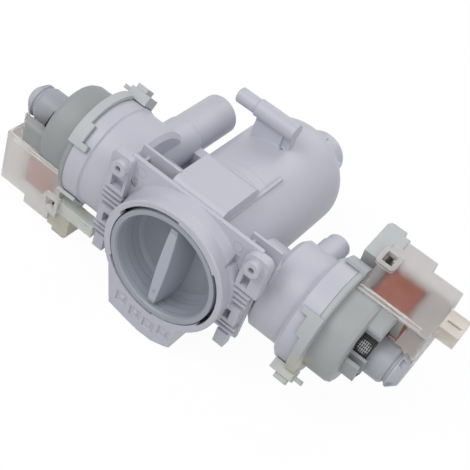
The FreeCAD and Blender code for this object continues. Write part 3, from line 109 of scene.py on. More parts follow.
class PumpColours(bpy.types.PropertyGroup):
    """Base colours of the finishes"""

    housing: colour("Housing", (0.56, 0.56, 0.625), "White moulded plastic of the pump housing")
    gate: colour("Gate marks", (0.30, 0.25, 0.16), "Curved slots beside the screw bosses")
    cap: colour("Cap", (0.365, 0.39, 0.44), "Grey plastic of the filter cap")
    cover: colour("Cover", (0.455, 0.475, 0.475), "Mint grey plastic of the motor covers")
    aged: colour("Aged plastic", (0.66, 0.62, 0.47), "Yellowed patches on the covers")
    drain_case: colour("Drain case", (0.94, 0.92, 0.90), "Clear share of the drain coil housing")
    drain_haze: colour("Drain haze", (0.92, 0.90, 0.88), "Cloudy share of the drain coil housing")
    drain_port: colour("Drain port", (0.92, 0.95, 0.90), "Cloudy share of the drain plug port")
    circulation_case: colour("Circulation case", (0.84, 0.81, 0.80), "Clear share of its coil housing")
    circulation_haze: colour("Circulation haze", (0.76, 0.735, 0.715), "Cloudy share of its coil housing")
    circulation_port: colour("Circulation port", (0.92, 0.87, 0.79), "Cloudy share of its plug port")
    # The coil housings' whitish edges are cloudy plastic and partly a painted highlight
    case_rim_cloud_and_highlight: colour("Case edges", (0.92, 0.91, 0.90), "Cloudy edges of both coil housings")
    can: colour("Can", (0.40, 0.41, 0.445), "Grey plastic of the rotor cans")
    bobbin: colour("Bobbin", (0.72, 0.72, 0.68), "White plastic that the wire is wound on")
    impeller: colour("Impeller", (0.24, 0.26, 0.29), "Dark grey plastic of impellers and drive dogs")
    copper: colour("Copper", (0.41, 0.092, 0.036), "Enamelled copper wire")
    steel: colour("Steel", (0.012, 0.011, 0.011), "Dark faces of the core's sheets")
    bright: colour("Bright edges", (0.80, 0.80, 0.81), "Bright lines on the core's cut edges")
    shaft: colour("Shaft", (0.62, 0.63, 0.65), "Ground steel of the shafts")
    terminal: colour("Terminal", (0.62, 0.58, 0.50), "Tinned brass of the plug blades")
    magnet: colour("Magnet", (0.03, 0.03, 0.034), "Ferrite of the rotor magnets")
    bearing: colour("Bearing", (0.025, 0.025, 0.028), "Carbon of the bearings")
    rubber: colour("Rubber", (0.02, 0.02, 0.022), "Black rubber of the seals")
    floor: colour("Floor", (0.60, 0.60, 0.60), "Studio floor, as far as it is lit")


# Building with nodes


class Value:
    """A socket in arithmetic: each sum, product or comparison adds its Math node."""

    def __init__(self, maker, socket):
        self.maker = maker
        self.socket = socket

    def maths(self, operation, *numbers):
        return self.maker.node("ShaderNodeMath", {"operation": operation}, *numbers)

    def __add__(self, other):
        return self.maths("ADD", self, other)

    __radd__ = __add__

    def __sub__(self, other):
        return self.maths("SUBTRACT", self, other)

    def __rsub__(self, other):
        return self.maths("SUBTRACT", other, self)

    def __mul__(self, other):
        return self.maths("MULTIPLY", self, other)

    __rmul__ = __mul__

    def __gt__(self, other):
        return self.maths("GREATER_THAN", self, other)

    def __lt__(self, other):
        return self.maths("LESS_THAN", self, other)

    def __mod__(self, other):
        return self.maths("FLOORED_MODULO", self, other)

    def __abs__(self):
        return self.maths("ABSOLUTE", self)

    def top(self, other):
        """The larger of the two."""
        return self.maths("MAXIMUM", self, other)

    def beside(self, out):
        """Another output of the same node."""
        return Value(self.maker, self.socket.node.outputs[out])


class NodeMaker:
    """A node tree under construction."""

    def __init__(self, tree):
        self.tree = tree

    def fill(self, socket, value):
        """Gives a socket its link, its list of links or its plain value. A colour needs no alpha."""
        if isinstance(value, Value):
            self.tree.links.new(value.socket, socket)
        elif isinstance(value, list):
            for one in value:
                self.fill(socket, one)
        elif value is not None:
            socket.default_value = (*value, 1.0) if socket.type == "RGBA" else value

    def node(self, kind, settings, *values, out=0, **named):
        """Adds a node: its settings first, then its sockets in order or by name. Returns one output."""
        made = self.tree.nodes.new(kind)
        for key, value in settings.items():
            setattr(made, key, value)
        for socket, value in zip(made.inputs, values):
            self.fill(socket, value)
        for key, value in named.items():
            self.fill(made.inputs[key.replace("_", " ")], value)
        return Value(self, made.outputs[out]) if made.outputs else None


class Finish(NodeMaker):
    """A material under construction."""

    def __init__(self, name, **constants):
        self.material = bpy.data.materials.new(name)
        self.material.use_nodes = True
        super().__init__(self.material.node_tree)
        self.shader = self.tree.nodes["Principled BSDF"]
        for socket, value in constants.items():
            self.feed(socket.replace("_", " "), value)

    def feed(self, socket, value):
        """Gives one of the shader's sockets its link or its plain value."""
        self.fill(self.shader.inputs[socket], value)

    def place(self):
        """Object coordinates, in metres."""
        return self.node("ShaderNodeTexCoord", {}, out="Object")

    def axes(self, turn=0.0):
        """The three object coordinates as numbers, turned about X by an angle in radians."""
        turned = self.node("ShaderNodeMapping", {}, Vector=self.place(), Rotation=(turn, 0.0, 0.0))
        split = self.node("ShaderNodeSeparateXYZ", {}, turned)
        return [split.beside(axis) for axis in "XYZ"]

    def vectors(self, operation, first, second):
        """A number worked out from two vectors."""
        return self.node("ShaderNodeVectorMath", {"operation": operation}, first, second, out="Value")

    def along(self, direction, start):
        """Distance from a point, measured along a direction."""
        return self.vectors("DOT_PRODUCT", self.place(), direction) - direction.dot(start)

    def away(self, point):
        """Distance from a point, in metres."""
        return self.vectors("DISTANCE", self.place(), point)

    def noise(self, scale, detail, stretch=(1.0, 1.0, 1.0)):
        """Noise from 0 to 1, with this many spots in a metre, finer where an axis is stretched more."""
        place = self.place()
        if stretch != (1.0, 1.0, 1.0):
            place = self.node("ShaderNodeMapping", {}, Vector=place, Scale=stretch)
        return self.node("ShaderNodeTexNoise", {}, Vector=place, Scale=scale, Detail=detail)

    def fade(self, value, start, end, first, last):
        """Goes from the first number to the last while a value goes from its start to its end."""
        return self.node("ShaderNodeMapRange", {}, value, start, end, first, last)

    def blend(self, factor, first, second):
        """Mix of two colours by a factor. A Mix node's colours come after five sockets of other kinds."""
        others = (None,) * 5
        return self.node("ShaderNodeMix", {"data_type": "RGBA"}, factor, *others, first, second, out=2)

    def soft_normal(self, radius, samples=6):
        """Surface direction with its edges rounded off."""
        return self.node("ShaderNodeBevel", {"samples": samples}, Radius=radius)

    def relief(self, height, edge_round=0.0):
        """Bump of a height in metres, over softened edges where a rounding is given."""
        normal = self.soft_normal(edge_round) if edge_round else None
        bump = self.node("ShaderNodeBump", {}, Strength=1.0, Distance=1.0, Height=height, Normal=normal)
        self.feed("Normal", bump)

    def mix_over(self, share, solid):
        """Mixes a second shader over the first by this share."""
        first = Value(self, self.shader.outputs[0])
        mixed = self.node("ShaderNodeMixShader", {}, share, first, solid)
        self.fill(self.tree.nodes["Material Output"].inputs["Surface"], mixed)


class Growth(NodeMaker):
    """A Geometry Nodes tree under construction, with a geometry input and named number inputs."""

    def __init__(self, name, **inputs):
        super().__init__(bpy.data.node_groups.new(name, "GeometryNodeTree"))
        kinds = {"Geometry": "Geometry"} | {label.replace("_", " "): kind for label, kind in inputs.items()}
        for label, kind in kinds.items():
            self.tree.interface.new_socket(label, in_out="INPUT", socket_type="NodeSocket" + kind)
        self.tree.interface.new_socket("Geometry", in_out="OUTPUT", socket_type="NodeSocketGeometry")
        start = self.node("NodeGroupInput", {})
        self.given = {label: start.beside(label) for label in kinds}

    def together(self, *parts):
        """Several geometries as one."""
        return self.node("GeometryNodeJoinGeometry", {}, list(parts))

    def row(self, piece, count, step):
        """Copies of a piece along a line."""
        line = self.node("GeometryNodeMeshLine", {}, Count=count, Offset=step)
        return self.node("GeometryNodeInstanceOnPoints", {}, Points=line, Instance=piece)

    def finished(self, instances, material):
        """Makes the copies real, paints them and sends them out."""
        real = self.node("GeometryNodeRealizeInstances", {}, instances)
        painted = self.node("GeometryNodeSetMaterial", {}, real, Material=material)
        self.node("NodeGroupOutput", {}, painted)
        return self.tree


# Plastics

# Shine of the moulded plastics, how much their roughness varies, and the share of their flow marks that
# is cloudy, where the rest is streaks
PLASTIC_SPECULAR = 0.45
GLOSS_SPREAD = 0.10
CLOUDY_FLOW = 0.65

# How light the caps of the rotor cans are against the cans
CAN_CAP_LIGHT = 1.2

# Height of a moulded surface: spots in a metre and height in metres, of its fine grain and its low waves
HOUSING_GRAIN = {"fine": (2600.0, 0.00002), "waves": (110.0, 0.00006)}
COVER_GRAIN = {"fine": (2000.0, 0.00003), "waves": (140.0, 0.0001)}


def shade(tone, factor):
    """A colour made lighter or darker."""
    return tuple(min(1.0, channel * factor) for channel in tone)


def uneven(noise, middle, spread):
    """Number that a noise moves round its middle, by this spread in all."""
    return noise * spread + (middle - spread / 2)


def close_to(value, middle, reach):
    """1 where a value is this near to the middle, else 0: a thin ring where the value is a distance."""
    return (value > middle - reach) * (value < middle + reach)


def flow_marks(finish, tone, mottle):
    """Cloudy flow of the plastic, and the base colour that it and faint long streaks mottle."""
    flow = finish.noise(scale=34.0, detail=3.0)
    streaks = finish.noise(scale=60.0, detail=2.0, stretch=(0.25, 1.0, 1.6))
    mixed = flow * CLOUDY_FLOW + streaks * (1.0 - CLOUDY_FLOW)
    return flow, finish.blend(mixed, shade(tone, 1.0 - mottle), shade(tone, 1.0 + mottle))


def grain(finish, fine, waves):
    """Height of a moulded surface, in metres."""
    fine_scale, fine_height = fine
    wave_scale, wave_height = waves
    return finish.noise(fine_scale, 2.0) * fine_height + finish.noise(wave_scale, 1.0) * wave_height


def moulded(name, tone, roughness, edge_round=0.0, mottle=0.06):
    """Injection-moulded plastic: faint flow marks in the colour, uneven gloss and a fine grain."""
    finish = Finish(name, Specular_IOR_Level=PLASTIC_SPECULAR)
    flow, base = flow_marks(finish, tone, mottle)
    finish.feed("Base Color", base)
    finish.feed("Roughness", uneven(flow, roughness, GLOSS_SPREAD))
    finish.relief(grain(finish, **HOUSING_GRAIN), edge_round)
    return finish.material


# The front of the housing's mounting plate along Y, and how near to it a mark has to be, in metres
PLATE_FRONT = 0.016
PLATE_REACH = 0.0005

# Round ejector marks on the plate and curved slots beside its screw bosses: centres, radius, half the
# width of the line and depth, in metres, and the share and tone of an ejector mark's shadow
EJECTOR_MARKS = ((-0.0400, 0.016, 0.0397), (0.0347, 0.016, 0.0391))
EJECTOR_RADIUS = 0.0034
EJECTOR_LINE = 0.00022
EJECTOR_DEPTH = 0.00025
EJECTOR_SHADOW, EJECTOR_DARK = 0.35, 0.55
GATE_SLOTS = ((-0.0418, 0.016, 0.0305), (0.0424, 0.016, 0.0276))
SLOT_RADIUS = 0.0040
SLOT_LINE = 0.00045
SLOT_DEPTH = 0.0004


def housing_plastic(tone, gate_tone, roughness, edge_round):
    """Moulded white plastic with ejector marks and yellowed curved slots on the plate."""
    finish = Finish("housing_white", Specular_IOR_Level=PLASTIC_SPECULAR)
    flow, base = flow_marks(finish, tone, mottle=0.03)
    x, y, z = finish.axes()
    marks = sum(close_to(finish.away(centre), EJECTOR_RADIUS, EJECTOR_LINE) for centre in EJECTOR_MARKS)
    slots = sum(
        close_to(finish.away(centre), SLOT_RADIUS, SLOT_LINE) * (x < centre[0]) * (z < centre[2])
        for centre in GATE_SLOTS
    )
    on_plate = close_to(y, PLATE_FRONT, PLATE_REACH)
    marks = marks * on_plate
    slots = slots * on_plate
    base = finish.blend(marks * EJECTOR_SHADOW, base, shade(tone, EJECTOR_DARK))
    finish.feed("Base Color", finish.blend(slots, base, gate_tone))
    finish.feed("Roughness", uneven(flow, roughness, GLOSS_SPREAD))
    height = grain(finish, **HOUSING_GRAIN) - marks * EJECTOR_DEPTH - slots * SLOT_DEPTH
    finish.relief(height, edge_round)
    return finish.material


# Depths at which the filter cap's wall shows a fine step, how high a step is, the small gate point on
# the grip and the depth of these marks, in metres, and the share and tone of their shadow
CAP_STEPS = (0.0046, 0.0098, 0.0152)
CAP_STEP_HEIGHT = 0.00035
GRIP_GATE = (0.0, 0.0012, -0.0225)
GRIP_GATE_RADIUS = 0.0012
CAP_MARK_DEPTH = 0.0002
CAP_SHADOW, CAP_DARK = 0.4, 0.5

# Reach of the cap's grip from its axis and depth over which its front fades, in metres, and how much lighter
# that front is painted: painted light for the light that the grip's front catches over the shaded bowl
GRIP_REACH = 0.030
CAP_FRONT = 0.0025
CAP_FRONT_PAINTED_LIGHT = 1.55


def cap_plastic(tone, roughness, edge_round):
    """Grey moulded plastic with fine turned steps round the bowl, a small gate point on the grip, and
    painted light on the grip's front.
    """
    finish = Finish("cap_grey", Specular_IOR_Level=PLASTIC_SPECULAR)
    flow, base = flow_marks(finish, tone, mottle=0.04)
    x, y, z = finish.axes()
    out = x * x + z * z
    steps = sum((y > depth) * (y < depth + CAP_STEP_HEIGHT) for depth in CAP_STEPS)
    gate = finish.away(GRIP_GATE) < GRIP_GATE_RADIUS
    marks = (steps * (out > GRIP_REACH ** 2)).top(gate)
    # Painted light: within the grip's reach the front is painted lighter, fading over its first few
    # millimetres
    front = finish.fade(y, start=0.0, end=CAP_FRONT, first=1.0, last=0.0) * (out < GRIP_REACH ** 2)
    base = finish.blend(front, base, shade(tone, CAP_FRONT_PAINTED_LIGHT))
    finish.feed("Base Color", finish.blend(marks * CAP_SHADOW, base, shade(tone, CAP_DARK)))
    finish.feed("Roughness", uneven(flow, roughness, GLOSS_SPREAD))
    finish.relief(finish.noise(scale=2200.0, detail=2.0) * 0.00003 - marks * CAP_MARK_DEPTH, edge_round)
    return finish.material


# Lit and shaded copies of one mint plastic, as painted light and shade: how much lighter or darker each
# motor's cover and end block are painted against the cover's colour, and how light their rims are painted
# against the rest
MINT_PAINTED_LIGHT = {
    "drain": {"cover": (0.76, 1.5), "block": (0.96, 1.0)},
    "circulation": {"cover": (0.86, 1.22), "block": (1.17, 1.0)},
}

# How far from the pump axis the painted lighter rim begins, in metres: at the drain cover's tabs, and at the
# circulation cover's flange
RIM_START = {"drain": 0.0386, "circulation": 0.0317}

# Where each motor's mint parts are yellowed: the place's centre and reach in metres, the share of the
# reach that is yellowed in full, and how strongly
AGED_PLACE = {
    "drain": ((-0.092, 0.030, -0.052), 0.030),
    "circulation": ((0.0970, 0.0125, -0.0135), 0.016),
}
AGED_CORE = 0.45
AGED_STRENGTH = 1.2


def mint_plastic(motor, part, cover_tone, aged_tone, edge_round):
    """Translucent-looking mint grey plastic with a yellowed place, painted lighter or darker per part and
    lighter at the rim, as painted light and shade.
    """
    finish = Finish(motor + "_" + part + "_mint", Specular_IOR_Level=0.4)
    # Painted light and shade: this part's tone and its rim's are the cover's colour painted lighter or
    # darker
    light, rim_painted_light = MINT_PAINTED_LIGHT[motor][part]
    tone = shade(cover_tone, light)
    flow, base = flow_marks(finish, tone, mottle=0.045)
    _, y, z = finish.axes()
    deep = y - PUMP_AXIS.y
    # Painted light: beyond this radius the rim is painted lighter
    rim = (deep * deep + z * z) > RIM_START[motor] ** 2
    base = finish.blend(rim, base, shade(tone, rim_painted_light))
    centre, reach = AGED_PLACE[motor]
    near = finish.fade(finish.away(centre), start=AGED_CORE * reach, end=reach, first=1.0, last=0.0)
    cloud = finish.noise(scale=120.0, detail=3.0)
    finish.feed("Base Color", finish.blend(near * cloud * AGED_STRENGTH, base, aged_tone))
    finish.feed("Roughness", uneven(flow, middle=0.46, spread=0.12))
    finish.relief(grain(finish, **COVER_GRAIN), edge_round)
    return finish.material


# The coil housings, in metres: heights over the pump axis between which they turn cloudy, how far out
# their ribs and their far wall begin, and how far from the coils' middle their ends turn cloudy
CLOUD_START, CLOUD_FULL = 0.037, 0.047
RIB_START = 0.0297
FAR_WALL = 0.0275
END_START, END_FULL = 0.012, 0.018

# How strongly the coil housings bend light: less than real plastic does, so that the coils stay in view
CASE_IOR = 1.22

# Cloudy share of the top, the ribs and far wall, the ends, the edges and the plug port; the edges' whitish
# share is cloudy plastic and also a painted highlight along them
TOP_CLOUD, WALL_CLOUD, END_CLOUD, EDGE_CLOUD_AND_HIGHLIGHT, PORT_CLOUD = 0.70, 0.55, 0.22, 0.85, 0.5

# Each coil housing: where its plug port begins along X, the middle of its coils along X, its cloudy share
# elsewhere, and how matt it is
CASES = {
    "drain": {"port_start": -0.0988, "middle": -0.119, "cloudiness": 0.20, "matt": 0.40},
    "circulation": {"port_start": 0.1505, "middle": 0.119, "cloudiness": 0.04, "matt": 0.28},
}


def case_cloud(finish, motor, edges, port, cloud):
    """Cloudy share of a coil housing: more at the top, in its ribs, far wall, ends, edges and port; at the
    edges it is partly a painted highlight.
    """
    case = CASES[motor]
    up, behind = [MOTORS[motor].to_3x3() @ Vector(way) for way in ((0.0, 0.0, 1.0), (0.0, 1.0, 0.0))]
    upper = finish.fade(finish.along(up, PUMP_AXIS), CLOUD_START, CLOUD_FULL, first=0.0, last=TOP_CLOUD)
    ribs = finish.along(-behind, PUMP_AXIS) > RIB_START
    far = finish.along(behind, PUMP_AXIS) > FAR_WALL
    from_middle = abs(finish.axes()[0] - case["middle"])
    ends = finish.fade(from_middle, END_START, END_FULL, first=0.0, last=END_CLOUD)
    thin = uneven(cloud, case["cloudiness"], spread=0.10) + ends
    return (port * PORT_CLOUD).top(edges).top(ribs.top(far) * WALL_CLOUD).top(upper).top(thin)


def clear_case(motor, tone, haze, port_tone, rim_cloud_and_highlight_tone, edge_width):
    """Milky see-through plastic over a cloudy share that grows where the walls are thick, with whitish edges
    that are partly a painted highlight.
    """
    finish = Finish(motor + "_case_clear", Transmission_Weight=1.0, IOR=CASE_IOR, Specular_IOR_Level=0.5)
    cloud = finish.noise(scale=60.0, detail=2.0)
    finish.feed("Base Color", finish.blend(cloud, shade(tone, 0.97), shade(tone, 1.03)))
    finish.feed("Roughness", cloud * 0.12 + CASES[motor]["matt"])
    finish.relief(finish.noise(scale=1500.0, detail=2.0) * 0.00002)
    flat = finish.node("ShaderNodeNewGeometry", {}, out="Normal")
    soft = finish.soft_normal(edge_width, samples=4)
    # Partly painted highlight: where rounded and flat normals differ, the edges turn whitish
    edges = finish.fade(
        finish.vectors("DOT_PRODUCT", soft, flat), start=0.80, end=0.99, first=EDGE_CLOUD_AND_HIGHLIGHT, last=0.0,
    )
    port = finish.axes()[0] > CASES[motor]["port_start"]
    solid = finish.node(
        "ShaderNodeBsdfPrincipled", {}, Roughness=0.5, Specular_IOR_Level=0.4,
        Base_Color=finish.blend(edges, finish.blend(port, haze, port_tone), rim_cloud_and_highlight_tone),
    )
    finish.mix_over(case_cloud(finish, motor, edges, port, cloud), solid)
    return finish.material


# Metals and rubber

# Turn about X that brings each motor's coils upright for the hatch on its sheets, where the hatch is
# counted from in metres, and the share of its pitch that a bright line takes
SHEET_TURN = {"drain": 0.0, "circulation": COILS_LEAN}
HATCH_START = -1.0
HATCH_LINE = 0.25

# The point on each core's cut faces round which the bright lines are strongest, and how far out they begin
# and finish fading, in metres
BRIGHT_LINES_CENTRE = {"drain": (-0.1238, 0.0135, -0.0385), "circulation": (0.1238, 0.0385, 0.0135)}
BRIGHT_LINES_REACH, BRIGHT_LINES_FADED = 0.0030, 0.0048


def cut_steel(motor, dark, bright, pitch):
    """Cut faces of a stack of sheets: near black, with bright lines between and across them, strongest round
    one point.
    """
    finish = Finish(motor + "_lamination_steel", Specular_IOR_Level=0.15)
    x, _, z = finish.axes(SHEET_TURN[motor])
    along, across = [((place - HATCH_START) % pitch) < pitch * HATCH_LINE for place in (x, z)]
    worn = finish.noise(scale=500.0, detail=3.0)
    near_centre = finish.fade(finish.away(BRIGHT_LINES_CENTRE[motor]), BRIGHT_LINES_REACH, BRIGHT_LINES_FADED, first=1.0, last=0.12)
    lines = along.top(across * 0.8) * finish.fade(worn, start=0.30, end=0.55, first=0.5, last=1.0) * near_centre
    finish.feed("Base Color", finish.blend(lines, dark, bright))
    finish.feed("Metallic", lines * 0.2)
    finish.feed("Roughness", worn * 0.25 + 0.42)
    finish.relief(lines * 0.00005)
    return finish.material


def worn_by(finish, noise, tone, dark, light, matt, matter, depth):
    """Lets one noise take the tone from dark to light and add to the roughness and the height."""
    finish.feed("Base Color", finish.blend(noise, shade(tone, dark), shade(tone, light)))
    finish.feed("Roughness", noise * matter + matt)
    finish.relief(noise * depth)
    return finish.material


def enamelled_wire(name, tone):
    """Lacquered copper: deep colour under a gloss coat, with slightly different turns."""
    finish = Finish(name, Metallic=0.25, Coat_Weight=0.5, Coat_Roughness=0.18)
    turns = finish.noise(scale=900.0, detail=3.0)
    return worn_by(finish, turns, tone, dark=0.75, light=1.25, matt=0.30, matter=0.2, depth=0.00003)


def bright_metal(name, tone, roughness):
    """Drawn or ground metal with fine scratches."""
    finish = Finish(name, Metallic=1.0)
    scratches = finish.noise(scale=3000.0, detail=4.0, stretch=(0.2, 1.0, 1.0))
    return worn_by(
        finish, scratches, tone, dark=0.85, light=1.1, matt=roughness, matter=0.15, depth=0.00001,
    )


def soft_rubber(name, tone):
    """Matt black rubber with a dusty bloom."""
    finish = Finish(name, Specular_IOR_Level=0.3, Sheen_Weight=0.15)
    bloom = finish.noise(scale=300.0, detail=4.0)
    return worn_by(finish, bloom, tone, dark=0.8, light=1.6, matt=0.62, matter=0.15, depth=0.00005)


# Windings and cores

# Half the gap between a motor's two coils, what a turn of wire may be off its place each way, with the
# seed for it, and what the wire keeps clear of the solid's sides, in metres
COIL_GAP = 0.0026
WIRE_SHIFT = 0.00006
SHIFT_SEED = 7
WIRE_CLEARANCE = 0.00008

# Faces round a coil's corner and round its wire
CORNER_FACES = 5
WIRE_FACES = 6

# One sheet of a core, in its motor's own directions and in metres: the rotor's bore, a pole's inner side
# and top, a leg's inner side, the underside of the part that joins the legs, and the lower corners' bevel
BORE_RADIUS = 0.0134
BORE_STEPS = 14
POLE_SIDE = 0.003
POLE_TOP = 0.0155
LEG_SIDE = 0.009
JOIN_UNDERSIDE = 0.0456
CORNER_BEVEL = 0.007
WELD_DISTANCE = 0.00001


def winding_tree(material):
    """Rounded loops of wire stacked on a line, over a filled core that closes the gaps between turns."""
    growth = Growth(
        "winding", Width="Float", Depth="Float", Corner="Float", Wire_Radius="Float", Turns="Int",
        Pitch="Float",
    )
    given = growth.given
    loop = growth.node(
        "GeometryNodeCurvePrimitiveQuadrilateral", {}, Width=given["Width"], Height=given["Depth"],
    )
    soft = growth.node(
        "GeometryNodeFilletCurve", {"mode": "POLY"}, Curve=loop, Count=CORNER_FACES, Radius=given["Corner"],
        Limit_Radius=True,
    )
    profile = growth.node(
        "GeometryNodeCurvePrimitiveCircle", {}, Resolution=WIRE_FACES, Radius=given["Wire Radius"],
    )
    turn = growth.node("GeometryNodeCurveToMesh", {}, Curve=soft, Profile_Curve=profile)
    step = growth.node("ShaderNodeCombineXYZ", {}, Z=given["Pitch"])
    shift = growth.node(
        "FunctionNodeRandomValue", {"data_type": "FLOAT_VECTOR"}, Min=(-WIRE_SHIFT, -WIRE_SHIFT, 0.0),
        Max=(WIRE_SHIFT, WIRE_SHIFT, 0.0), Seed=SHIFT_SEED,
    )
    turns = growth.node(
        "GeometryNodeTranslateInstances", {}, growth.row(turn, given["Turns"], step), Translation=shift,
    )
    face = growth.node("GeometryNodeFillCurve", {}, Curve=soft)
    height = given["Turns"] * given["Pitch"]
    body = growth.node("GeometryNodeExtrudeMesh", {}, Mesh=face, Offset_Scale=height)
    base = growth.node("GeometryNodeFlipFaces", {}, Mesh=face)
    return growth.finished(growth.together(turns, body, base), material)


def sheet_tree(material):
    """A flat outline made a thin sheet and repeated along X."""
    growth = Growth("sheets", Thickness="Float", Pitch="Float", Count="Int")
    given = growth.given
    outline = given["Geometry"]
    body = growth.node("GeometryNodeExtrudeMesh", {}, Mesh=outline, Offset_Scale=given["Thickness"])
    back = growth.node("GeometryNodeFlipFaces", {}, Mesh=outline)
    sheet = growth.node(
        "GeometryNodeMergeByDistance", {}, Geometry=growth.together(body, back), Distance=WELD_DISTANCE,
    )
    step = growth.node("ShaderNodeCombineXYZ", {}, X=given["Pitch"])
    return growth.finished(growth.row(sheet, given["Count"], step), material)


def grown(name, base_mesh, tree, values, place):
    """Runs the tree on a mesh and returns the result as a plain mesh object, moved to its place."""
    source = bpy.data.objects.new(name + "_source", base_mesh)
    bpy.context.scene.collection.objects.link(source)
    modifier = source.modifiers.new("grow", "NODES")
    modifier.node_group = tree
    for item in tree.interface.items_tree:
        if item.in_out == "INPUT" and item.name in values:
            modifier[item.identifier] = values[item.name]
    bpy.context.view_layer.update()
    evaluated = source.evaluated_get(bpy.context.evaluated_depsgraph_get())
    mesh = bpy.data.meshes.new_from_object(evaluated)
    source.modifiers.clear()
    bpy.data.objects.remove(source)
    mesh.transform(place)
    return linked(name, mesh)


def linked(name, data):
    """A new object in the scene."""
    made = bpy.data.objects.new(name, data)
    bpy.context.scene.collection.objects.link(made)
    return made


def joined(name, pieces):
    """One mesh object from several that share a material."""
    mesh = bpy.data.meshes.new(name)
    shape = bmesh.new()
    for piece in pieces:
        shape.from_mesh(piece.data)
    shape.to_mesh(mesh)
    shape.free()
    # A grown coil has an empty slot before the wire's own, and its faces count both
    for material in pieces[0].data.materials:
        mesh.materials.append(material)
    for piece in pieces:
        bpy.data.objects.remove(piece)
    return linked(name, mesh)


def flat_face(name, outline):
    """One face in the YZ plane, facing +X."""
    mesh = bpy.data.meshes.new(name)
    shape = bmesh.new()
    face = shape.faces.new([shape.verts.new((0.0, y, z)) for y, z in outline])
    shape.normal_update()
    if face.normal.x < 0:
        bmesh.ops.reverse_faces(shape, faces=[face])
    shape.to_mesh(mesh)
    shape.free()
    return mesh


def local_box(motor, node):
    """A node's lowest and highest corners in its motor's own directions."""
    back = MOTORS[motor].inverted()
    points = [back @ vertex.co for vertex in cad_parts[node].data.vertices]
    return [Vector(map(pick, *points)) for pick in (min, max)]


def mirrored(points):
    """An outline's points on its other side, in the order that carries the outline on."""
    return [(-y, z) for y, z in reversed(points)]


def core_outline(low, high):
    """Outline of one sheet: two legs joined at the top, bevelled below, with the rotor's bore between."""
    start = math.asin(POLE_SIDE / BORE_RADIUS) - math.pi / 2
    angles = [start - 2 * start * step / BORE_STEPS for step in range(BORE_STEPS + 1)]
    bore = [(BORE_RADIUS * math.cos(angle), BORE_RADIUS * math.sin(angle)) for angle in angles]
    window = [(POLE_SIDE, POLE_TOP), (LEG_SIDE, POLE_TOP), (LEG_SIDE, JOIN_UNDERSIDE)]
    inside = [(POLE_SIDE, low.z), *bore, *window]
    outside = [(high.y, high.z), (high.y, low.z + CORNER_BEVEL), (high.y - CORNER_BEVEL, low.z)]
    return inside + mirrored(inside) + mirrored(outside) + outside


# Operators


def set_materials(materials, motor=None):
    """Gives each named node its material; with a motor, the names are of its parts."""
    for part, material in materials.items():
        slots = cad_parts[motor + "_" + part if motor else part].data.materials
        slots.clear()
        slots.append(material)


class PUMP_OT_plastics(bpy.types.Operator):
    """Give the housing, the filter and the motor covers their moulded plastics"""

    bl_idname = "pump.plastics"
    bl_label = "Moulded plastics"

    def execute(self, context):
        tones = context.scene.pump_colours
        edge = context.scene.pump_sizes.edge_round
        set_materials({
            "pump_housing": housing_plastic(tones.housing, tones.gate, roughness=0.40, edge_round=edge),
            "filter_cap": cap_plastic(tones.cap, roughness=0.42, edge_round=edge),
            "filter_strainer": moulded("strainer_grey", tones.cap, roughness=0.45),
        })
        can = moulded("can_grey", tones.can, roughness=0.40, edge_round=edge, mottle=0.05)
        can_cap = moulded(
            "can_cap_grey", shade(tones.can, CAN_CAP_LIGHT), roughness=0.42, edge_round=edge, mottle=0.05,
        )
        bobbin = moulded("bobbin_white", tones.bobbin, roughness=0.5, mottle=0.04)
        impeller = moulded("impeller_grey", tones.impeller, roughness=0.45, edge_round=edge)
        for motor in MOTORS:
            set_materials({
                "motor_cover": mint_plastic(motor, "cover", tones.cover, tones.aged, edge),
                "end_block": mint_plastic(motor, "block", tones.cover, tones.aged, edge),
                "rotor_can": can, "can_cap": can_cap, "bobbins": bobbin, "terminal_carrier": bobbin,
                "drive_dog": impeller, "impeller": impeller,
            }, motor)
        return {"FINISHED"}


class PUMP_OT_metals(bpy.types.Operator):
    """Give shafts, magnets, bearings, seals and plug blades their finishes"""

    bl_idname = "pump.metals"
    bl_label = "Metals and rubber"

    def execute(self, context):
        tones = context.scene.pump_colours
        steel = bright_metal("shaft_steel", tones.shaft, roughness=0.22)
        tin = bright_metal("terminal_tin", tones.terminal, roughness=0.30)
        magnet = moulded("magnet_dark", tones.magnet, roughness=0.5, mottle=0.2)
        bearing = moulded("bearing_dark", tones.bearing, roughness=0.55, mottle=0.2)
        rubber = soft_rubber("seal_rubber", tones.rubber)
        set_materials({"filter_seal": rubber})
        for motor in MOTORS:
            set_materials({
                "shaft": steel, "terminals": tin, "magnet": magnet, "front_bearing": bearing,
                "rear_bearing": bearing, "cover_seal": rubber,
            }, motor)
        return {"FINISHED"}


class PUMP_OT_cases(bpy.types.Operator):
    """Give the coil housings their milky see-through plastic"""

    bl_idname = "pump.cases"
    bl_label = "Coil housings"

    def execute(self, context):
        tones = context.scene.pump_colours
        edge_width = context.scene.pump_sizes.case_edge
        for motor in CASES:
            clear, haze, port = [getattr(tones, motor + part) for part in ("_case", "_haze", "_port")]
            case = clear_case(motor, clear, haze, port, tones.case_rim_cloud_and_highlight, edge_width)
            set_materials({"coil_housing": case}, motor)
        return {"FINISHED"}


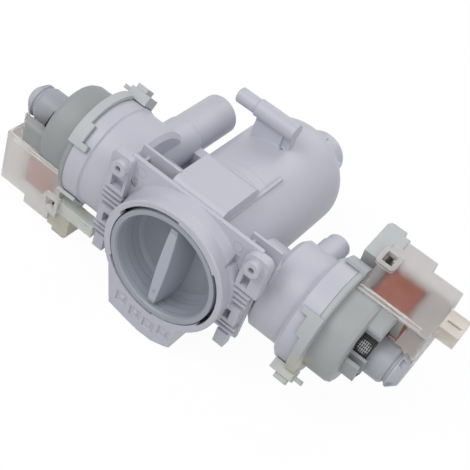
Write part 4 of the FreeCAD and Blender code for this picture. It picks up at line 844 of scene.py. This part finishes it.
class PUMP_OT_windings(bpy.types.Operator):
    """Wind two coils of wire on each motor"""

    bl_idname = "pump.windings"
    bl_label = "Windings"

    def execute(self, context):
        sizes = context.scene.pump_sizes
        tree = winding_tree(enamelled_wire("copper_wire", context.scene.pump_colours.copper))
        inset = sizes.wire_radius + WIRE_CLEARANCE
        for motor, place in MOTORS.items():
            low, high = local_box(motor, motor + "_windings")
            depth = high.y - COIL_GAP
            values = {
                "Width": high.x - low.x - 2 * inset,
                "Depth": depth - 2 * inset,
                "Corner": sizes.coil_corner,
                "Wire Radius": sizes.wire_radius,
                "Turns": int((high.z - low.z - 2 * sizes.wire_radius) / sizes.wire_pitch) + 1,
                "Pitch": sizes.wire_pitch,
            }
            coils = []
            for side in (-1, 1):
                middle = side * (COIL_GAP + depth / 2)
                start = Vector(((low.x + high.x) / 2, middle, low.z + sizes.wire_radius))
                blank = bpy.data.meshes.new(motor + "_coil_seed")
                coils.append(grown(motor + "_coil", blank, tree, values, place @ Matrix.Translation(start)))
            piece = joined(motor + "_wire", coils)
            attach(piece, "housing")
            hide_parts(motor + "_windings")
        return {"FINISHED"}


class PUMP_OT_cores(bpy.types.Operator):
    """Stack the steel sheets of each motor's core"""

    bl_idname = "pump.cores"
    bl_label = "Laminated cores"

    def execute(self, context):
        sizes = context.scene.pump_sizes
        tones = context.scene.pump_colours
        for motor, place in MOTORS.items():
            tree = sheet_tree(cut_steel(motor, tones.steel, tones.bright, sizes.hatch_pitch))
            node = motor + "_core"
            low, high = local_box(motor, node)
            values = {
                "Thickness": sizes.sheet_thickness,
                "Pitch": sizes.sheet_pitch,
                "Count": int((high.x - low.x - sizes.sheet_thickness) / sizes.sheet_pitch) + 1,
            }
            outline = flat_face(motor + "_sheet", core_outline(low, high))
            start = Matrix.Translation((low.x, 0.0, 0.0))
            piece = grown(motor + "_sheets", outline, tree, values, place @ start)
            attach(piece, "housing")
            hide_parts(node)
        return {"FINISHED"}


# The stage: the camera's place in metres, its directions to the right and back from the object, and its
# lens and sensor in millimetres, all fitted to the photograph
CAMERA_PLACE = (0.1803, -0.3769, 0.4432)
CAMERA_RIGHT = Vector((0.7698, 0.5750, 0.2773))
CAMERA_BACK = Vector((0.2595, -0.6787, 0.6871))
CAMERA_LENS = 77.05
CAMERA_SENSOR = 36.0
CAMERA_CLIP = (0.01, 20.0)

# Each lamp's place and side in metres and its power in watts, and the point that all of them face
LAMPS = {
    "key": ((-0.55, -0.75, 1.25), 0.9, 10.0),
    "fill": ((0.95, -0.60, 0.75), 1.1, 5.0),
    "back": ((0.1, 1.1, 0.9), 0.9, 4.0),
}
LAMP_AIM = Vector((0.0, 0.06, 0.0))

# Even light from all round, the white seen behind the object, and how far the floor glows white
STUDIO_TONE = (0.93, 0.95, 1.0)
STUDIO_STRENGTH = 0.40
WHITE = (1.0, 1.0, 1.0)
FLOOR_GLOW = 1.055
FLOOR_GLOW_SHARE = 0.9


class PUMP_OT_stage(bpy.types.Operator):
    """Set the camera, the lights, the floor and the background"""

    bl_idname = "pump.stage"
    bl_label = "Stage"

    def execute(self, context):
        scene = context.scene
        scene.view_settings.view_transform = "Standard"
        scene.camera = add_camera()
        for name, (place, side, power) in LAMPS.items():
            add_lamp(name, place, side, power)
        scene.world = studio_world()
        floor = add_floor(scene.pump_sizes.floor_size, min(corner.z for corner in CAD_BOX))
        floor.data.materials.append(floor_finish(scene.pump_colours.floor))
        return {"FINISHED"}


def add_camera():
    """The camera, in the place and with the lens of the photograph."""
    camera = linked("camera", bpy.data.cameras.new("camera"))
    right = CAMERA_RIGHT.normalized()
    back = CAMERA_BACK.normalized()
    up = back.cross(right).normalized()
    turn = Matrix((right, up, back)).transposed().to_4x4()
    camera.matrix_world = Matrix.Translation(CAMERA_PLACE) @ turn
    camera.data.sensor_width = CAMERA_SENSOR
    camera.data.lens = CAMERA_LENS
    camera.data.clip_start, camera.data.clip_end = CAMERA_CLIP
    return camera


def add_lamp(name, place, side, power):
    """A square soft lamp that faces the object."""
    light = bpy.data.lights.new(name, "AREA")
    light.size = side
    light.energy = power
    lamp = linked(name, light)
    lamp.location = place
    lamp.rotation_mode = "QUATERNION"
    lamp.rotation_quaternion = (LAMP_AIM - Vector(place)).to_track_quat("-Z", "Y")


def add_floor(side, height):
    """A square floor round the origin."""
    mesh = bpy.data.meshes.new("floor")
    corners = [(x * side / 2, y * side / 2, height) for x, y in ((-1, -1), (1, -1), (1, 1), (-1, 1))]
    mesh.from_pydata(corners, [], [(0, 1, 2, 3)])
    return linked("floor", mesh)


def emptied(owner):
    """The node tree of a material or world, with nothing in it."""
    owner.use_nodes = True
    owner.node_tree.nodes.clear()
    return NodeMaker(owner.node_tree)


def seen_directly(maker):
    """1 for camera, glossy and transmission rays, else 0."""
    camera = maker.node("ShaderNodeLightPath", {}, out="Is Camera Ray")
    return camera.top(camera.beside("Is Glossy Ray")).top(camera.beside("Is Transmission Ray"))


def studio_world():
    """Even studio light, with plain white where the background itself is seen."""
    world = bpy.data.worlds.new("studio")
    maker = emptied(world)
    light = maker.node("ShaderNodeBackground", {}, STUDIO_TONE, STUDIO_STRENGTH)
    white = maker.node("ShaderNodeBackground", {}, WHITE, 1.0)
    mixed = maker.node("ShaderNodeMixShader", {}, seen_directly(maker), light, white)
    maker.node("ShaderNodeOutputWorld", {}, mixed)
    return world


def floor_finish(tone):
    """Pale matt floor that looks near white and keeps a light shadow."""
    material = bpy.data.materials.new("floor")
    maker = emptied(material)
    paint = maker.node("ShaderNodeBsdfDiffuse", {}, tone)
    glow = maker.node("ShaderNodeEmission", {}, WHITE, FLOOR_GLOW)
    share = seen_directly(maker) * FLOOR_GLOW_SHARE
    mixed = maker.node("ShaderNodeMixShader", {}, share, paint, glow)
    maker.node("ShaderNodeOutputMaterial", {}, mixed)
    return material


OPERATORS = [
    PUMP_OT_plastics, PUMP_OT_metals, PUMP_OT_cases, PUMP_OT_windings, PUMP_OT_cores, PUMP_OT_stage,
]


class PUMP_PT_panel(bpy.types.Panel):
    """The pump's steps in the sidebar"""

    bl_idname = "PUMP_PT_panel"
    bl_label = "Circulation Pump"
    bl_space_type = "VIEW_3D"
    bl_region_type = "UI"
    bl_category = "Pump"

    def draw(self, context):
        for step in OPERATORS:
            self.layout.operator(step.bl_idname)
        for group in (context.scene.pump_sizes, context.scene.pump_colours):
            for key in group.bl_rna.properties.keys():
                if key not in ("rna_type", "name"):
                    self.layout.prop(group, key)


CLASSES = [PumpSizes, PumpColours, *OPERATORS, PUMP_PT_panel]


def register():
    for kind in CLASSES:
        bpy.utils.register_class(kind)
    bpy.types.Scene.pump_sizes = bpy.props.PointerProperty(type=PumpSizes)
    bpy.types.Scene.pump_colours = bpy.props.PointerProperty(type=PumpColours)


def unregister():
    del bpy.types.Scene.pump_sizes
    del bpy.types.Scene.pump_colours
    for kind in reversed(CLASSES):
        bpy.utils.unregister_class(kind)


def main():
    register()
    bpy.ops.pump.plastics()
    bpy.ops.pump.metals()
    bpy.ops.pump.cases()
    bpy.ops.pump.windings()
    bpy.ops.pump.cores()
    bpy.ops.pump.stage()


if __name__ == "__main__":
    main()
